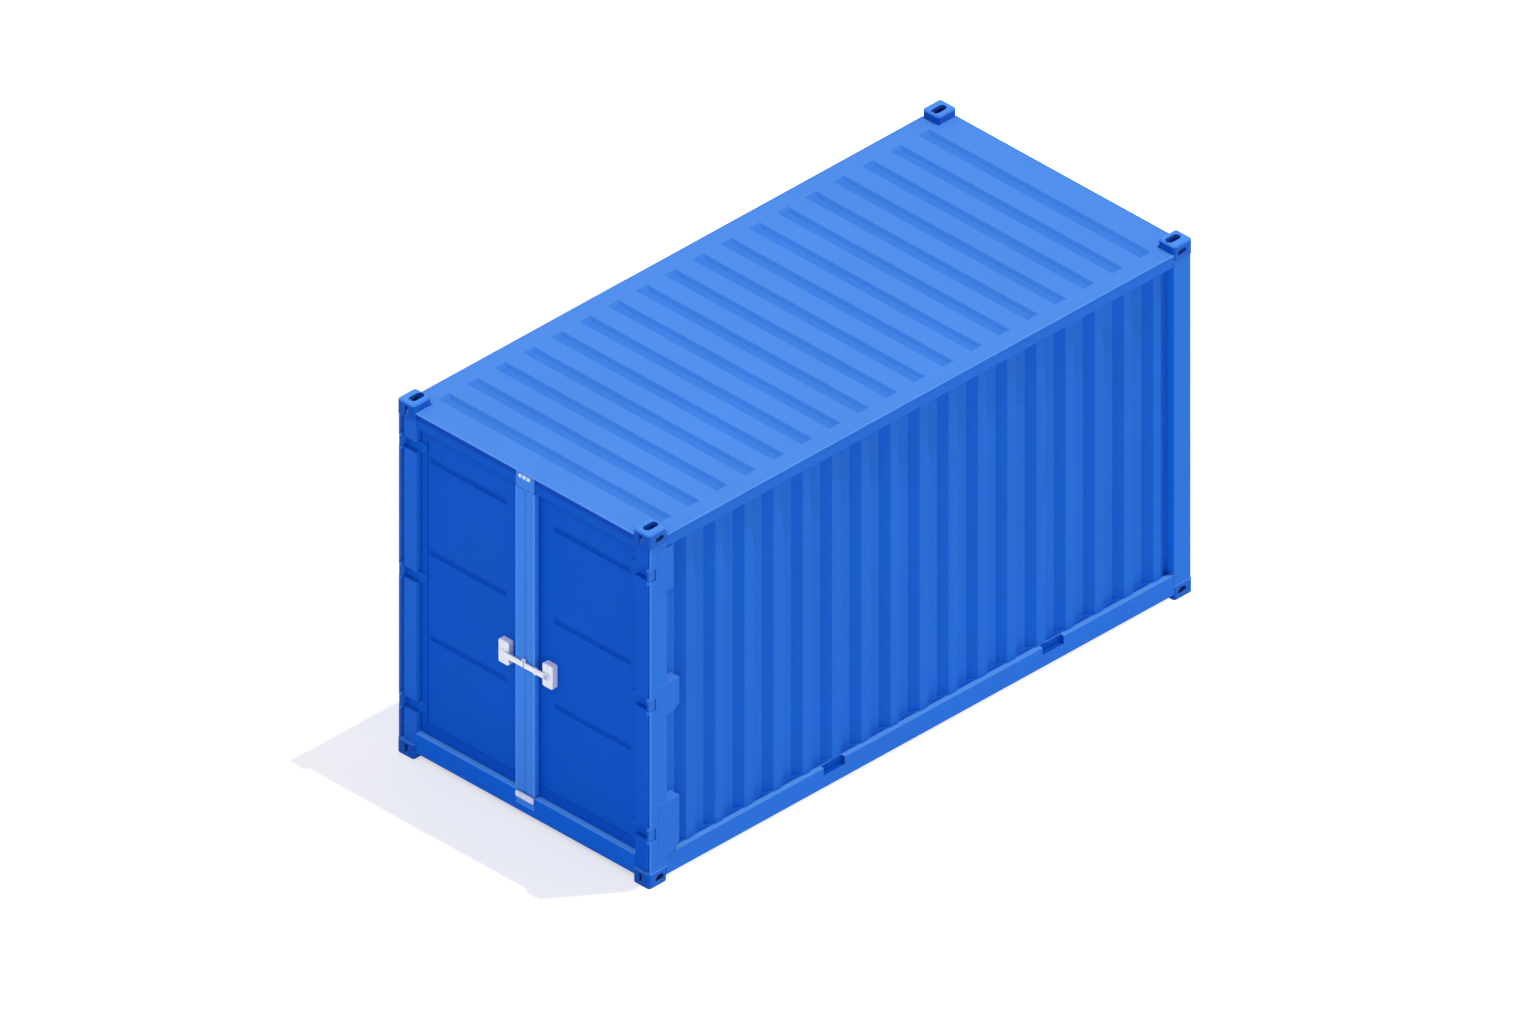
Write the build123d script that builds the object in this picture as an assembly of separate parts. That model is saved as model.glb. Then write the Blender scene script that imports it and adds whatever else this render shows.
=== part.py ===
"""Short high-cube steel shipping container with two side-hinged end doors.

Millimetres. X runs along the length with the doors at -X, Y across the width with
the left side at +Y, Z up. The origin is on the ground under the middle of the box.
A depth is measured inwards from the door-end plane, and an inset inwards from the
right-hand side plane; the left-hand pieces are mirror images of the right-hand ones.
"""
import os

from build123d import *

# Overall envelope, over the corner castings
LENGTH = 5240.0
WIDTH = 2438.0
HEIGHT = 2896.0

# Corner castings
CASTING_LENGTH = 178.0
CASTING_WIDTH = 162.0
CASTING_HEIGHT = 118.0
CASTING_WALL = 16.0
CASTING_TREAD = 28.0          # thickness of the face that the twistlock pulls on
CASTING_EDGE_R = 28.0
CASTING_FACE_CHAMFER = 10.0
SLOT_LENGTH = 124.0
SLOT_WIDTH = 63.5
SLOT_FROM_END = 102.5
SLOT_FROM_SIDE = 89.5
SIDE_EYE_LENGTH = 79.0        # apertures in the side and end faces
SIDE_EYE_HEIGHT = 51.0

# Frame members
CASTING_STAND_TOP = 65.0      # castings stand this far above the roof sheet
CASTING_STAND_BOTTOM = 50.0   # and this far below the rails
END_SETBACK = 24.0            # door posts, sill and header behind the casting face
BLIND_SETBACK = 12.0
SIDE_SETBACK = 6.0
POST_LIP = 6.0                # thickness of the lip down a door post's outer edge
POST_LIP_SETBACK = 14.0       # front of that lip behind the casting face, clear of a padlock
POST_STEP_WIDTH = 38.0        # from the outer edge to the post's flat front, over lip and recess
POST_STEP_DEPTH = 20.0
MEMBER_WALL = 5.0
SILL_DEPTH = 100.0
SILL_HEIGHT = 165.0
HEADER_HEIGHT = 118.0
TOP_RAIL_HEIGHT = 98.0
RAIL_WIDTH = 82.0
RAIL_FOOT_WIDTH = 54.0
EDGE_CHAMFER = 4.0

# Pockets in the top edge of the bottom side rails
POCKET_LENGTH = 205.0
POCKET_HEIGHT = 62.0
POCKET_DEPTH = 36.0
POCKET_WALL = 3.0
POCKET_PITCH = 2109.0
POCKET_OFFSET = 225.0         # middle of the pair, ahead of the container's middle

# Pressed sheet walls
SHEET = 2.0
WALL_CREST_INSET = 44.0
WALL_DEPTH = 40.0
WALL_PITCH = 281.5
WALL_CREST = 66.0
WALL_TROUGH = 68.0
WALL_DOOR_MARGIN = 147.0
END_PITCH = 250.0
END_CREST = 110.0
END_TROUGH = 70.0

# Roof sheet
ROOF_PITCH = 272.0
ROOF_END_MARGIN = 300.0        # least distance from an end plane to the middle of a trough
ROOF_TROUGH_WIDTH = 112.0
ROOF_TROUGH_FLOOR = 66.0
ROOF_TROUGH_DEPTH = 20.0
ROOF_TROUGH_FROM_SIDE = 140.0
ROOF_TROUGH_END_TAPER = 46.0
ROOF_EDGE = 3.0               # sheet edge behind the rail face

# Underframe and floor
FLOOR_THICKNESS = 28.0
FLOOR_BELOW_SILL = 3.0
FLOOR_BOARDS = 4
FLOOR_GAP = 2.0
MEMBER_PITCH = 300.0
MEMBER_END_MARGIN = 365.0      # least distance from an end plane to a cross member
MEMBER_FLANGE = 45.0
MEMBER_SHEET = 4.0
MEMBER_END_INSET = 46.0

# Door leaves
LEAF_DEPTH = 64.0             # outer face of a leaf behind the casting face
LEAF_THICKNESS = 50.0
LEAF_GAP = 10.0
LEAF_SPLIT = 16.0
HINGE_STILE = 60.0
MEETING_STILE = 84.0
LEAF_RAIL = 80.0
LEAF_WALL = 4.0
PANEL_RECESS = 6.0
SWAGE_LOW_RISE = 798.0        # lowest line above the leaf's foot
SWAGE_TOP_DROP = 230.0        # highest line below the leaf's head
SWAGE_MIDDLE_DROP = 29.0      # middle line below halfway between them
SWAGE_MOUTH = 56.0
SWAGE_FLOOR = 20.0
SWAGE_DEPTH = 16.0
SWAGE_MARGIN = 12.0           # from the hinge stile
SWAGE_MEETING_MARGIN = 128.0   # from the meeting stile
SEAL_LIP = 5.0
SEAL_SPLIT_LIP = 3.0
SEAL_WIDTH = 20.0
SEAL_BACK = 14.0              # behind the leaf's outer face

# Hinges
PIN_DEPTH = 16.0
PIN_INSET = 24.0
PIN_R = 8.0
PIN_CLEARANCE = 0.5
KNUCKLE_WALL = 4.0
HINGE_ABOVE_SILL = 215.0
HINGE_BELOW_HEADER = 161.0
STRAP_HEIGHT = 80.0
STRAP_THICKNESS = 12.0
STRAP_REACH = 52.0            # length on the leaf's hinge stile
LUG_THICKNESS = 20.0
LUG_GAP = 2.0
REBATE_CLEARANCE = 5.0
REBATE_BACK = 8.0             # behind the strap

# Plates between the door posts and the side walls, at the hinge heights
PLATE_THICKNESS = 6.0
PLATE_START_DEPTH = 96.0
PLATE_REACH = 112.0           # past the post, for the low and middle plates
PLATE_TOP_REACH = 55.0
PLATE_LOW_RISE = 224.0        # above the low hinge
PLATE_MIDDLE_HALF = 127.5
PLATE_TOP_DROP = 170.0        # below the top hinge
PLATE_TOP_GAP = 11.0          # below the top side rail
PLATE_SLANT = 45.0
PLATE_CURVE_R = 90.0

# Centre bars, their caps and the keepers
BAR_WIDTH = 80.0
BAR_DEPTH = 42.0
BAR_SHEET = 3.0
BAR_SPLIT = 16.0
BAR_END_GAP = 3.0
BAR_CHAMFER = 6.0
CAP_WIDTH = 176.0
CAP_THICKNESS = 4.0
CAP_TOP_HEIGHT = 112.0
CAP_LOW_HEIGHT = 104.0
CAP_LAP = 7.0                 # of a cap over the gap at the leaf
KEEPER_THICKNESS = 8.0
KEEPER_CHAMFER = 8.0
KEEPER_TOP = (120.0, 30.0, 92.0)         # width, height, middle above the header's low edge
KEEPER_LOW = (172.0, 46.0, 24.0)         # width, height, middle below the sill's top edge

# Lock
LOCK_HEIGHT = 1274.0
LOCK_WIDTH = 100.0
LOCK_TALL = 190.0
LOCK_DEPTH = 42.0
LOCK_SHEET = 3.0
LOCK_R = 9.0
LOCK_MIDDLE = 212.0           # from the meeting line to the middle of a lock box
ARM_HEIGHT = 42.0
ARM_THICKNESS = 10.0
ARM_BOX_GAP = 7.0             # from the back of an arm to the face of its box
ARM_SPLIT = 12.0
ARM_END_R = 26.0
BOSS_R = 30.0
STUD_GAP = 1.0
STUD_HEAD_R = 16.0
STUD_HEAD = 3.0
EAR_THICKNESS = 6.0
EAR_HEIGHT = 30.0
EAR_DEPTH = 14.0
EAR_BORE_R = 4.5

# Planes and spans worked out from the sizes above
HALF_L = LENGTH / 2
HALF_W = WIDTH / 2
ROOF_Z = HEIGHT - CASTING_STAND_TOP
RAIL_TOP_Z = ROOF_Z - SHEET
BASE_Z = CASTING_STAND_BOTTOM
SILL_TOP_Z = BASE_Z + SILL_HEIGHT
HEADER_LOW_Z = RAIL_TOP_Z - HEADER_HEIGHT
TOP_RAIL_LOW_Z = RAIL_TOP_Z - TOP_RAIL_HEIGHT
FLOOR_TOP_Z = SILL_TOP_Z - FLOOR_BELOW_SILL
FLOOR_LOW_Z = FLOOR_TOP_Z - FLOOR_THICKNESS
LEAF_LOW_Z = SILL_TOP_Z + LEAF_GAP
LEAF_TOP_Z = HEADER_LOW_Z - LEAF_GAP
LEAF_OUTER_INSET = CASTING_WIDTH + LEAF_GAP
LEAF_INNER_INSET = HALF_W - LEAF_SPLIT / 2
STRAP_DEPTH = LEAF_DEPTH - STRAP_THICKNESS
BAR_FRONT = LEAF_DEPTH - BAR_DEPTH
LOCK_FRONT = LEAF_DEPTH - LOCK_DEPTH
ARM_BACK = LOCK_FRONT - ARM_BOX_GAP
ARM_FRONT = ARM_BACK - ARM_THICKNESS
KNUCKLE_R = PIN_R + KNUCKLE_WALL


def block(depths, insets, heights):
    """Box between two depths, two insets and two heights on the right-hand side."""
    (d0, d1), (s0, s1), (z0, z1) = depths, insets, heights
    centre = Pos((d0 + d1) / 2 - HALF_L, (s0 + s1) / 2 - HALF_W, (z0 + z1) / 2)
    return centre * Box(abs(d1 - d0), abs(s1 - s0), abs(z1 - z0))


def post_rod(depth, inset, radius, z0, z1):
    """Upright round rod at a depth and an inset."""
    return Pos(depth - HALF_L, inset - HALF_W, (z0 + z1) / 2) * Cylinder(radius, z1 - z0)


def tube(depths, insets, heights, wall, axis):
    """Open-ended rectangular tube along one axis, with broken long edges."""
    outer = block(depths, insets, heights)
    outer = chamfer(outer.edges().filter_by(axis), EDGE_CHAMFER)
    spans = []
    for span, along in zip((depths, insets, heights), (Axis.X, Axis.Y, Axis.Z)):
        spans.append(span if along == axis else (span[0] + wall, span[1] - wall))
    return outer - block(*spans)


def left_of(shape):
    """Mirror image of a right-hand piece, for the left-hand side."""
    return mirror(shape, about=Plane.XZ)


def blind_of(shape):
    """Mirror image of a door-end piece, for the blind end."""
    return mirror(shape, about=Plane.YZ)


def stadium(length, width, depth_span, centre, axis):
    """Slot cutter with round ends: length lies along the face, centre is its middle."""
    sketch = SlotOverall(length, width)
    solid = extrude(sketch, amount=depth_span / 2, both=True)
    if axis == Axis.Y:
        solid = Rot(90, 0, 0) * solid
    elif axis == Axis.X:
        solid = Rot(90, 0, 90) * solid
    return Pos(*centre) * solid


def bottom_casting():
    """Hollow corner casting at the door end, right-hand side, ground level."""
    body = block((0, CASTING_LENGTH), (0, CASTING_WIDTH), (0, CASTING_HEIGHT))
    body = fillet(body.edges().filter_by(Axis.Z), CASTING_EDGE_R)
    body = chamfer(body.faces().sort_by(Axis.Z)[0].edges(), CASTING_FACE_CHAMFER)
    cavity = block((CASTING_WALL, CASTING_LENGTH - CASTING_WALL),
                   (CASTING_WALL, CASTING_WIDTH - CASTING_WALL),
                   (CASTING_TREAD, CASTING_HEIGHT - CASTING_WALL))
    slot_at = (SLOT_FROM_END - HALF_L, SLOT_FROM_SIDE - HALF_W, CASTING_TREAD / 2)
    slot = stadium(SLOT_LENGTH, SLOT_WIDTH, 2 * CASTING_TREAD, slot_at, Axis.Z)
    eye_z = (CASTING_TREAD + CASTING_HEIGHT - CASTING_WALL) / 2
    side_at = (SLOT_FROM_END - HALF_L, CASTING_WALL / 2 - HALF_W, eye_z)
    side_eye = stadium(SIDE_EYE_LENGTH, SIDE_EYE_HEIGHT, 2 * CASTING_WALL, side_at, Axis.Y)
    end_at = (CASTING_WALL / 2 - HALF_L, SLOT_FROM_SIDE - HALF_W, eye_z)
    end_eye = stadium(SIDE_EYE_LENGTH, SIDE_EYE_HEIGHT, 2 * CASTING_WALL, end_at, Axis.X)
    return body - cavity - slot - side_eye - end_eye


def top_of(shape):
    """Mirror image of a ground-level casting, at the roof corners."""
    return mirror(shape, about=Plane.XY.offset(HEIGHT / 2))


def hinge_heights():
    """Height of the middle of each hinge, lowest first."""
    low, high = SILL_TOP_Z + HINGE_ABOVE_SILL, HEADER_LOW_Z - HINGE_BELOW_HEADER
    return [low, (low + high) / 2, high]


def swage_heights():
    """Height of each pressed line in a door panel, lowest first."""
    low, high = LEAF_LOW_Z + SWAGE_LOW_RISE, LEAF_TOP_Z - SWAGE_TOP_DROP
    return [low, (low + high) / 2 - SWAGE_MIDDLE_DROP, high]


def hinge_rebate(height, grow=0.0):
    """Space that a hinge strap crosses on its way over a door post."""
    half = STRAP_HEIGHT / 2 + REBATE_CLEARANCE + grow
    return block((0, LEAF_DEPTH + REBATE_BACK + grow), (-1, CASTING_WIDTH + 1),
                 (height - half, height + half))


def post_outline(wall, z0, z1):
    """Solid outline of a door post, shrunk all round by a wall."""
    step_at = SIDE_SETBACK + POST_STEP_WIDTH
    front = block((END_SETBACK + wall, CASTING_LENGTH - wall),
                  (step_at + wall, CASTING_WIDTH - wall), (z0, z1))
    back = block((END_SETBACK + POST_STEP_DEPTH + wall, CASTING_LENGTH - wall),
                 (SIDE_SETBACK + wall, CASTING_WIDTH - wall), (z0, z1))
    return front + back


def door_post():
    """Stepped hollow corner post with a lip, a recess for the pins and hinge rebates."""
    low, high = CASTING_HEIGHT, HEIGHT - CASTING_HEIGHT
    outer = post_outline(0, low, high)
    outer += block((POST_LIP_SETBACK, CASTING_LENGTH),
                   (SIDE_SETBACK, SIDE_SETBACK + POST_LIP), (low, high))
    front_edges = [e for e in outer.edges().filter_by(Axis.Z)
                   if abs(e.center().X + HALF_L - END_SETBACK) < 1]
    outer = chamfer(front_edges, EDGE_CHAMFER)
    hollow = post_outline(MEMBER_WALL, low - 1, high + 1)
    for height in hinge_heights():
        outer -= hinge_rebate(height)
        hollow -= hinge_rebate(height, MEMBER_WALL)
    return outer - hollow


def blind_post():
    """Plain hollow corner post at the blind end, right-hand side."""
    post = tube((BLIND_SETBACK, CASTING_LENGTH), (SIDE_SETBACK, CASTING_WIDTH),
                (CASTING_HEIGHT, HEIGHT - CASTING_HEIGHT), MEMBER_WALL, Axis.Z)
    return blind_of(post)


def across(depths, heights):
    """Tube between the posts, from one side of the container to the other."""
    return tube(depths, (CASTING_WIDTH, WIDTH - CASTING_WIDTH), heights, MEMBER_WALL, Axis.Y)


def door_sill():
    """Tube under the door leaves."""
    return across((END_SETBACK, END_SETBACK + SILL_DEPTH), (BASE_Z, SILL_TOP_Z))


def door_header():
    """Tube over the door leaves."""
    return across((END_SETBACK, END_SETBACK + SILL_DEPTH), (HEADER_LOW_Z, RAIL_TOP_Z))


def blind_bottom_rail():
    """Tube under the blind end wall."""
    return blind_of(across((BLIND_SETBACK, BLIND_SETBACK + RAIL_WIDTH), (BASE_Z, SILL_TOP_Z)))


def blind_top_rail():
    """Tube over the blind end wall."""
    return blind_of(across((BLIND_SETBACK, BLIND_SETBACK + RAIL_WIDTH),
                           (TOP_RAIL_LOW_Z, RAIL_TOP_Z)))


def pocket_middles():
    """X of the middle of each pocket in a bottom side rail."""
    return [POCKET_OFFSET - POCKET_PITCH / 2, POCKET_OFFSET + POCKET_PITCH / 2]


def bottom_side_rail():
    """Channel along the bottom of a side wall, with two lined pockets in its top edge."""
    run = (CASTING_LENGTH, LENGTH - CASTING_LENGTH)
    web = block(run, (SIDE_SETBACK, SIDE_SETBACK + MEMBER_WALL), (BASE_Z, SILL_TOP_Z))
    shelf = block(run, (SIDE_SETBACK, SIDE_SETBACK + RAIL_WIDTH),
                  (SILL_TOP_Z - MEMBER_WALL, SILL_TOP_Z))
    foot = block(run, (SIDE_SETBACK, SIDE_SETBACK + RAIL_FOOT_WIDTH),
                 (BASE_Z, BASE_Z + MEMBER_WALL))
    rail = web + shelf + foot
    outer_edges = [e for e in rail.edges().filter_by(Axis.X)
                   if abs(e.center().Y + HALF_W - SIDE_SETBACK) < 1]
    rail = chamfer(outer_edges, EDGE_CHAMFER)
    for middle in pocket_middles():
        ends = (middle + HALF_L - POCKET_LENGTH / 2, middle + HALF_L + POCKET_LENGTH / 2)
        low = SILL_TOP_Z - POCKET_HEIGHT
        back = SIDE_SETBACK + POCKET_DEPTH
        lined = block((ends[0] - POCKET_WALL, ends[1] + POCKET_WALL),
                      (SIDE_SETBACK + MEMBER_WALL / 2, back), (low - POCKET_WALL, SILL_TOP_Z))
        space = block(ends, (0, back - POCKET_WALL), (low, SILL_TOP_Z + 1))
        rail = rail + lined - space
    return rail


def top_side_rail():
    """Tube along the top of a side wall."""
    return tube((CASTING_LENGTH, LENGTH - CASTING_LENGTH),
                (SIDE_SETBACK, SIDE_SETBACK + RAIL_WIDTH),
                (TOP_RAIL_LOW_Z, RAIL_TOP_Z), MEMBER_WALL, Axis.X)


def copies(span, pitch):
    """How many pieces at a pitch have their middles within a span."""
    return int(span / pitch) + 1


def corrugation(first, crests, pitch, crest, trough, start, end):
    """Points (along, step) of one face of a pressed sheet; step 0 is a crest, 1 a trough."""
    slope = (pitch - crest - trough) / 2
    points = [(start, 1)]
    for index in range(crests):
        middle = first + index * pitch
        points += [(middle - crest / 2 - slope, 1), (middle - crest / 2, 0),
                   (middle + crest / 2, 0), (middle + crest / 2 + slope, 1)]
    points.append((end, 1))
    return [p for i, p in enumerate(points) if i == 0 or p[0] - points[i - 1][0] > 0.01]


def pressed_sheet(points, placed, heights):
    """Sheet with the given corrugation, as an upright extrusion; placed maps (along, out)."""
    outer = [placed(along, WALL_CREST_INSET + WALL_DEPTH * step) for along, step in points]
    inner = [placed(along, WALL_CREST_INSET + WALL_DEPTH * step + SHEET) for along, step in points]
    loop = outer + inner[::-1]
    face = make_face(Polyline(*[(x, y, heights[0]) for x, y in loop], close=True))
    return extrude(face, amount=heights[1] - heights[0], dir=(0, 0, 1))


def side_wall():
    """Corrugated sheet of the right-hand side."""
    start, end = CASTING_LENGTH, LENGTH - CASTING_LENGTH
    slope = (WALL_PITCH - WALL_CREST - WALL_TROUGH) / 2
    first = start + WALL_DOOR_MARGIN + slope + WALL_CREST / 2
    crests = copies(end - slope - WALL_CREST / 2 - first, WALL_PITCH)
    points = corrugation(first, crests, WALL_PITCH, WALL_CREST, WALL_TROUGH, start, end)
    return pressed_sheet(points, lambda along, out: (along - HALF_L, out - HALF_W),
                         (SILL_TOP_Z, TOP_RAIL_LOW_Z))


def blind_end_wall():
    """Corrugated sheet of the blind end."""
    start, end = CASTING_WIDTH, WIDTH - CASTING_WIDTH
    crests = copies(end - start - END_PITCH + END_TROUGH, END_PITCH)
    first = HALF_W - (crests - 1) / 2 * END_PITCH
    points = corrugation(first, crests, END_PITCH, END_CREST, END_TROUGH, start, end)
    return pressed_sheet(points, lambda along, out: (HALF_L - out, along - HALF_W),
                         (SILL_TOP_Z, TOP_RAIL_LOW_Z))


def roof_pan(shrink, top_z):
    """Tapered solid of one roof trough, shrunk all round by the sheet's thickness."""
    width = WIDTH - 2 * ROOF_TROUGH_FROM_SIDE - 2 * shrink
    mouth = Pos(0, 0, top_z) * Rectangle(ROOF_TROUGH_WIDTH - 2 * shrink, width)
    floor = Pos(0, 0, ROOF_Z - ROOF_TROUGH_DEPTH - SHEET + shrink) * Rectangle(
        ROOF_TROUGH_FLOOR - 2 * shrink, width - 2 * ROOF_TROUGH_END_TAPER)
    return loft([mouth, floor])


def roof_panel():
    """Roof sheet with transverse troughs, cut round the castings."""
    sheet = block((END_SETBACK + ROOF_EDGE, LENGTH - BLIND_SETBACK - ROOF_EDGE),
                  (SIDE_SETBACK + ROOF_EDGE, WIDTH - SIDE_SETBACK - ROOF_EDGE),
                  (RAIL_TOP_Z, ROOF_Z))
    corner = block((0, CASTING_LENGTH), (0, CASTING_WIDTH), (RAIL_TOP_Z - 1, ROOF_Z + 1))
    for cutter in (corner, left_of(corner), blind_of(corner), left_of(blind_of(corner))):
        sheet -= cutter
    troughs = copies(LENGTH - 2 * ROOF_END_MARGIN, ROOF_PITCH)
    first = -(troughs - 1) / 2 * ROOF_PITCH
    places = [Pos(first + index * ROOF_PITCH, 0, 0) for index in range(troughs)]
    outer = roof_pan(0, ROOF_Z - SHEET / 2)
    inner = roof_pan(SHEET, ROOF_Z + 1)
    sheet = sheet + [place * outer for place in places]
    return sheet - [place * inner for place in places]


def floor_boards():
    """Plywood sheets laid across the container, notched round the door posts."""
    start = END_SETBACK + SILL_DEPTH + FLOOR_GAP
    end = LENGTH - BLIND_SETBACK - RAIL_WIDTH - FLOOR_GAP
    inset = SIDE_SETBACK + RAIL_WIDTH + FLOOR_GAP
    length = (end - start - (FLOOR_BOARDS - 1) * FLOOR_GAP) / FLOOR_BOARDS
    boards = []
    for index in range(FLOOR_BOARDS):
        at = start + index * (length + FLOOR_GAP)
        boards.append(block((at, at + length), (inset, WIDTH - inset), (FLOOR_LOW_Z, FLOOR_TOP_Z)))
    post = block((0, CASTING_LENGTH + FLOOR_GAP), (0, CASTING_WIDTH + FLOOR_GAP),
                 (FLOOR_LOW_Z - 1, FLOOR_TOP_Z + 1))
    posts = [post, left_of(post)]
    far_posts = [blind_of(p) for p in posts]
    boards[0] = boards[0] - posts[0] - posts[1]
    boards[-1] = boards[-1] - far_posts[0] - far_posts[1]
    return Compound(children=boards)


def cross_members():
    """Pressed channels that carry the floor between the bottom side rails."""
    low = BASE_Z + MEMBER_WALL
    insets = (MEMBER_END_INSET, WIDTH - MEMBER_END_INSET)
    members = copies(LENGTH - 2 * MEMBER_END_MARGIN, MEMBER_PITCH)
    first = LENGTH / 2 - (members - 1) / 2 * MEMBER_PITCH - MEMBER_FLANGE / 2
    channels = []
    for index in range(members):
        at = first + index * MEMBER_PITCH
        channel = block((at, at + MEMBER_FLANGE), insets, (low, FLOOR_LOW_Z))
        channel -= block((at + MEMBER_SHEET, at + MEMBER_FLANGE + 1), insets,
                         (low + MEMBER_SHEET, FLOOR_LOW_Z - MEMBER_SHEET))
        channels.append(channel)
    return Compound(children=channels)


def hinge_lugs():
    """Two lugs and a pin at each hinge of the right-hand door post."""
    hinges = []
    lug_low = STRAP_HEIGHT / 2 + LUG_GAP
    for height in hinge_heights():
        pin_half = lug_low + LUG_THICKNESS
        hinge = post_rod(PIN_DEPTH, PIN_INSET, PIN_R, height - pin_half, height + pin_half)
        for z0 in (height - pin_half, height + lug_low):
            heights = (z0, z0 + LUG_THICKNESS)
            hinge += post_rod(PIN_DEPTH, PIN_INSET, KNUCKLE_R, *heights)
            hinge += block((PIN_DEPTH, END_SETBACK + POST_STEP_DEPTH),
                           (PIN_INSET - KNUCKLE_R, PIN_INSET + KNUCKLE_R), heights)
        hinges.append(hinge)
    return Compound(children=hinges)


def side_plate(low, high, reach, curve_r=0.0, slant=0.0):
    """Plate over the joint between door post and side wall, turned in to the wall and lidded."""
    end = CASTING_LENGTH + reach
    outer = block((PLATE_START_DEPTH, end), (SIDE_SETBACK - PLATE_THICKNESS, SIDE_SETBACK),
                  (low, high))
    leg = block((end - PLATE_THICKNESS, end),
                (SIDE_SETBACK - PLATE_THICKNESS, WALL_CREST_INSET + WALL_DEPTH), (low, high))
    lid = block((CASTING_LENGTH, end),
                (SIDE_SETBACK - PLATE_THICKNESS, WALL_CREST_INSET + WALL_DEPTH),
                (high - PLATE_THICKNESS, high))
    plate = outer + leg + lid
    if curve_r:
        corner = block((end - curve_r, end + 1), (-1, WALL_CREST_INSET + WALL_DEPTH + 1),
                       (low - 1, low + curve_r))
        round_off = Pos(end - curve_r - HALF_L, WALL_CREST_INSET - HALF_W, low + curve_r)
        barrel = round_off * Rot(90, 0, 0) * Cylinder(curve_r, 4 * WALL_DEPTH)
        plate -= corner - barrel
    if slant:
        wedge = make_face(Polyline((end - reach / 2 - HALF_L, -HALF_W - 1, low),
                                   (end + 1 - HALF_L, -HALF_W - 1, low),
                                   (end + 1 - HALF_L, -HALF_W - 1, low + slant), close=True))
        plate -= extrude(wedge, amount=WALL_CREST_INSET + WALL_DEPTH + 2, dir=(0, 1, 0))
    return plate


def side_plates():
    """Three plates down one side, one beside each hinge."""
    low_hinge, middle_hinge, top_hinge = hinge_heights()
    low = side_plate(SILL_TOP_Z, low_hinge + PLATE_LOW_RISE, PLATE_REACH, curve_r=PLATE_CURVE_R)
    middle = side_plate(middle_hinge - PLATE_MIDDLE_HALF, middle_hinge + PLATE_MIDDLE_HALF,
                        PLATE_REACH, slant=PLATE_SLANT)
    top = side_plate(top_hinge - PLATE_TOP_DROP, TOP_RAIL_LOW_Z - PLATE_TOP_GAP, PLATE_TOP_REACH)
    return Compound(children=[low, middle, top])


def door_frame():
    """Welded hollow-section frame of the right-hand leaf."""
    depths = (LEAF_DEPTH, LEAF_DEPTH + LEAF_THICKNESS)
    insets = (LEAF_OUTER_INSET, LEAF_INNER_INSET)
    heights = (LEAF_LOW_Z, LEAF_TOP_Z)
    frame = block(depths, insets, heights)
    frame = chamfer(frame.edges().filter_by(Axis.Z), EDGE_CHAMFER / 2)
    window = block((0, LENGTH), (insets[0] + HINGE_STILE, insets[1] - MEETING_STILE),
                   (heights[0] + LEAF_RAIL, heights[1] - LEAF_RAIL))
    core = block((depths[0] + LEAF_WALL, depths[1] - LEAF_WALL),
                 (insets[0] + LEAF_WALL, insets[1] - LEAF_WALL),
                 (heights[0] + LEAF_WALL, heights[1] - LEAF_WALL))
    inner = block((0, LENGTH),
                  (insets[0] + HINGE_STILE - LEAF_WALL, insets[1] - MEETING_STILE + LEAF_WALL),
                  (heights[0] + LEAF_RAIL - LEAF_WALL, heights[1] - LEAF_RAIL + LEAF_WALL))
    return frame - window - (core - inner)


def swage(height, shrink, front):
    """Tapered solid of one pressed line in a door panel."""
    insets = (LEAF_OUTER_INSET + HINGE_STILE + SWAGE_MARGIN,
              LEAF_INNER_INSET - MEETING_STILE - SWAGE_MEETING_MARGIN)
    length = insets[1] - insets[0] - 2 * shrink
    middle = (insets[0] + insets[1]) / 2 - HALF_W
    back = LEAF_DEPTH + PANEL_RECESS + SWAGE_DEPTH + SHEET - shrink
    mouth = Plane(origin=(front - HALF_L, middle, height), x_dir=(0, 1, 0), z_dir=(1, 0, 0))
    floor = Plane(origin=(back - HALF_L, middle, height), x_dir=(0, 1, 0), z_dir=(1, 0, 0))
    sections = [mouth * Rectangle(length, SWAGE_MOUTH - 2 * shrink),
                floor * Rectangle(length - SWAGE_MOUTH, SWAGE_FLOOR)]
    return loft(sections)


def door_panel():
    """Pressed sheet of the right-hand leaf, with its horizontal lines."""
    face = LEAF_DEPTH + PANEL_RECESS
    panel = block((face, face + SHEET),
                  (LEAF_OUTER_INSET + HINGE_STILE, LEAF_INNER_INSET - MEETING_STILE),
                  (LEAF_LOW_Z + LEAF_RAIL, LEAF_TOP_Z - LEAF_RAIL))
    panel = panel + [swage(height, 0, face + SHEET / 2) for height in swage_heights()]
    return panel - [swage(height, SHEET, face - 1) for height in swage_heights()]


def door_seal():
    """Rubber lip round the right-hand leaf."""
    depths = (LEAF_DEPTH + SEAL_BACK, LEAF_DEPTH + SEAL_BACK + SEAL_WIDTH)
    ring = block(depths, (LEAF_OUTER_INSET - SEAL_LIP, LEAF_INNER_INSET + SEAL_SPLIT_LIP),
                 (LEAF_LOW_Z - SEAL_LIP, LEAF_TOP_Z + SEAL_LIP))
    return ring - block((0, LENGTH), (LEAF_OUTER_INSET, LEAF_INNER_INSET), (LEAF_LOW_Z, LEAF_TOP_Z))


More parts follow.
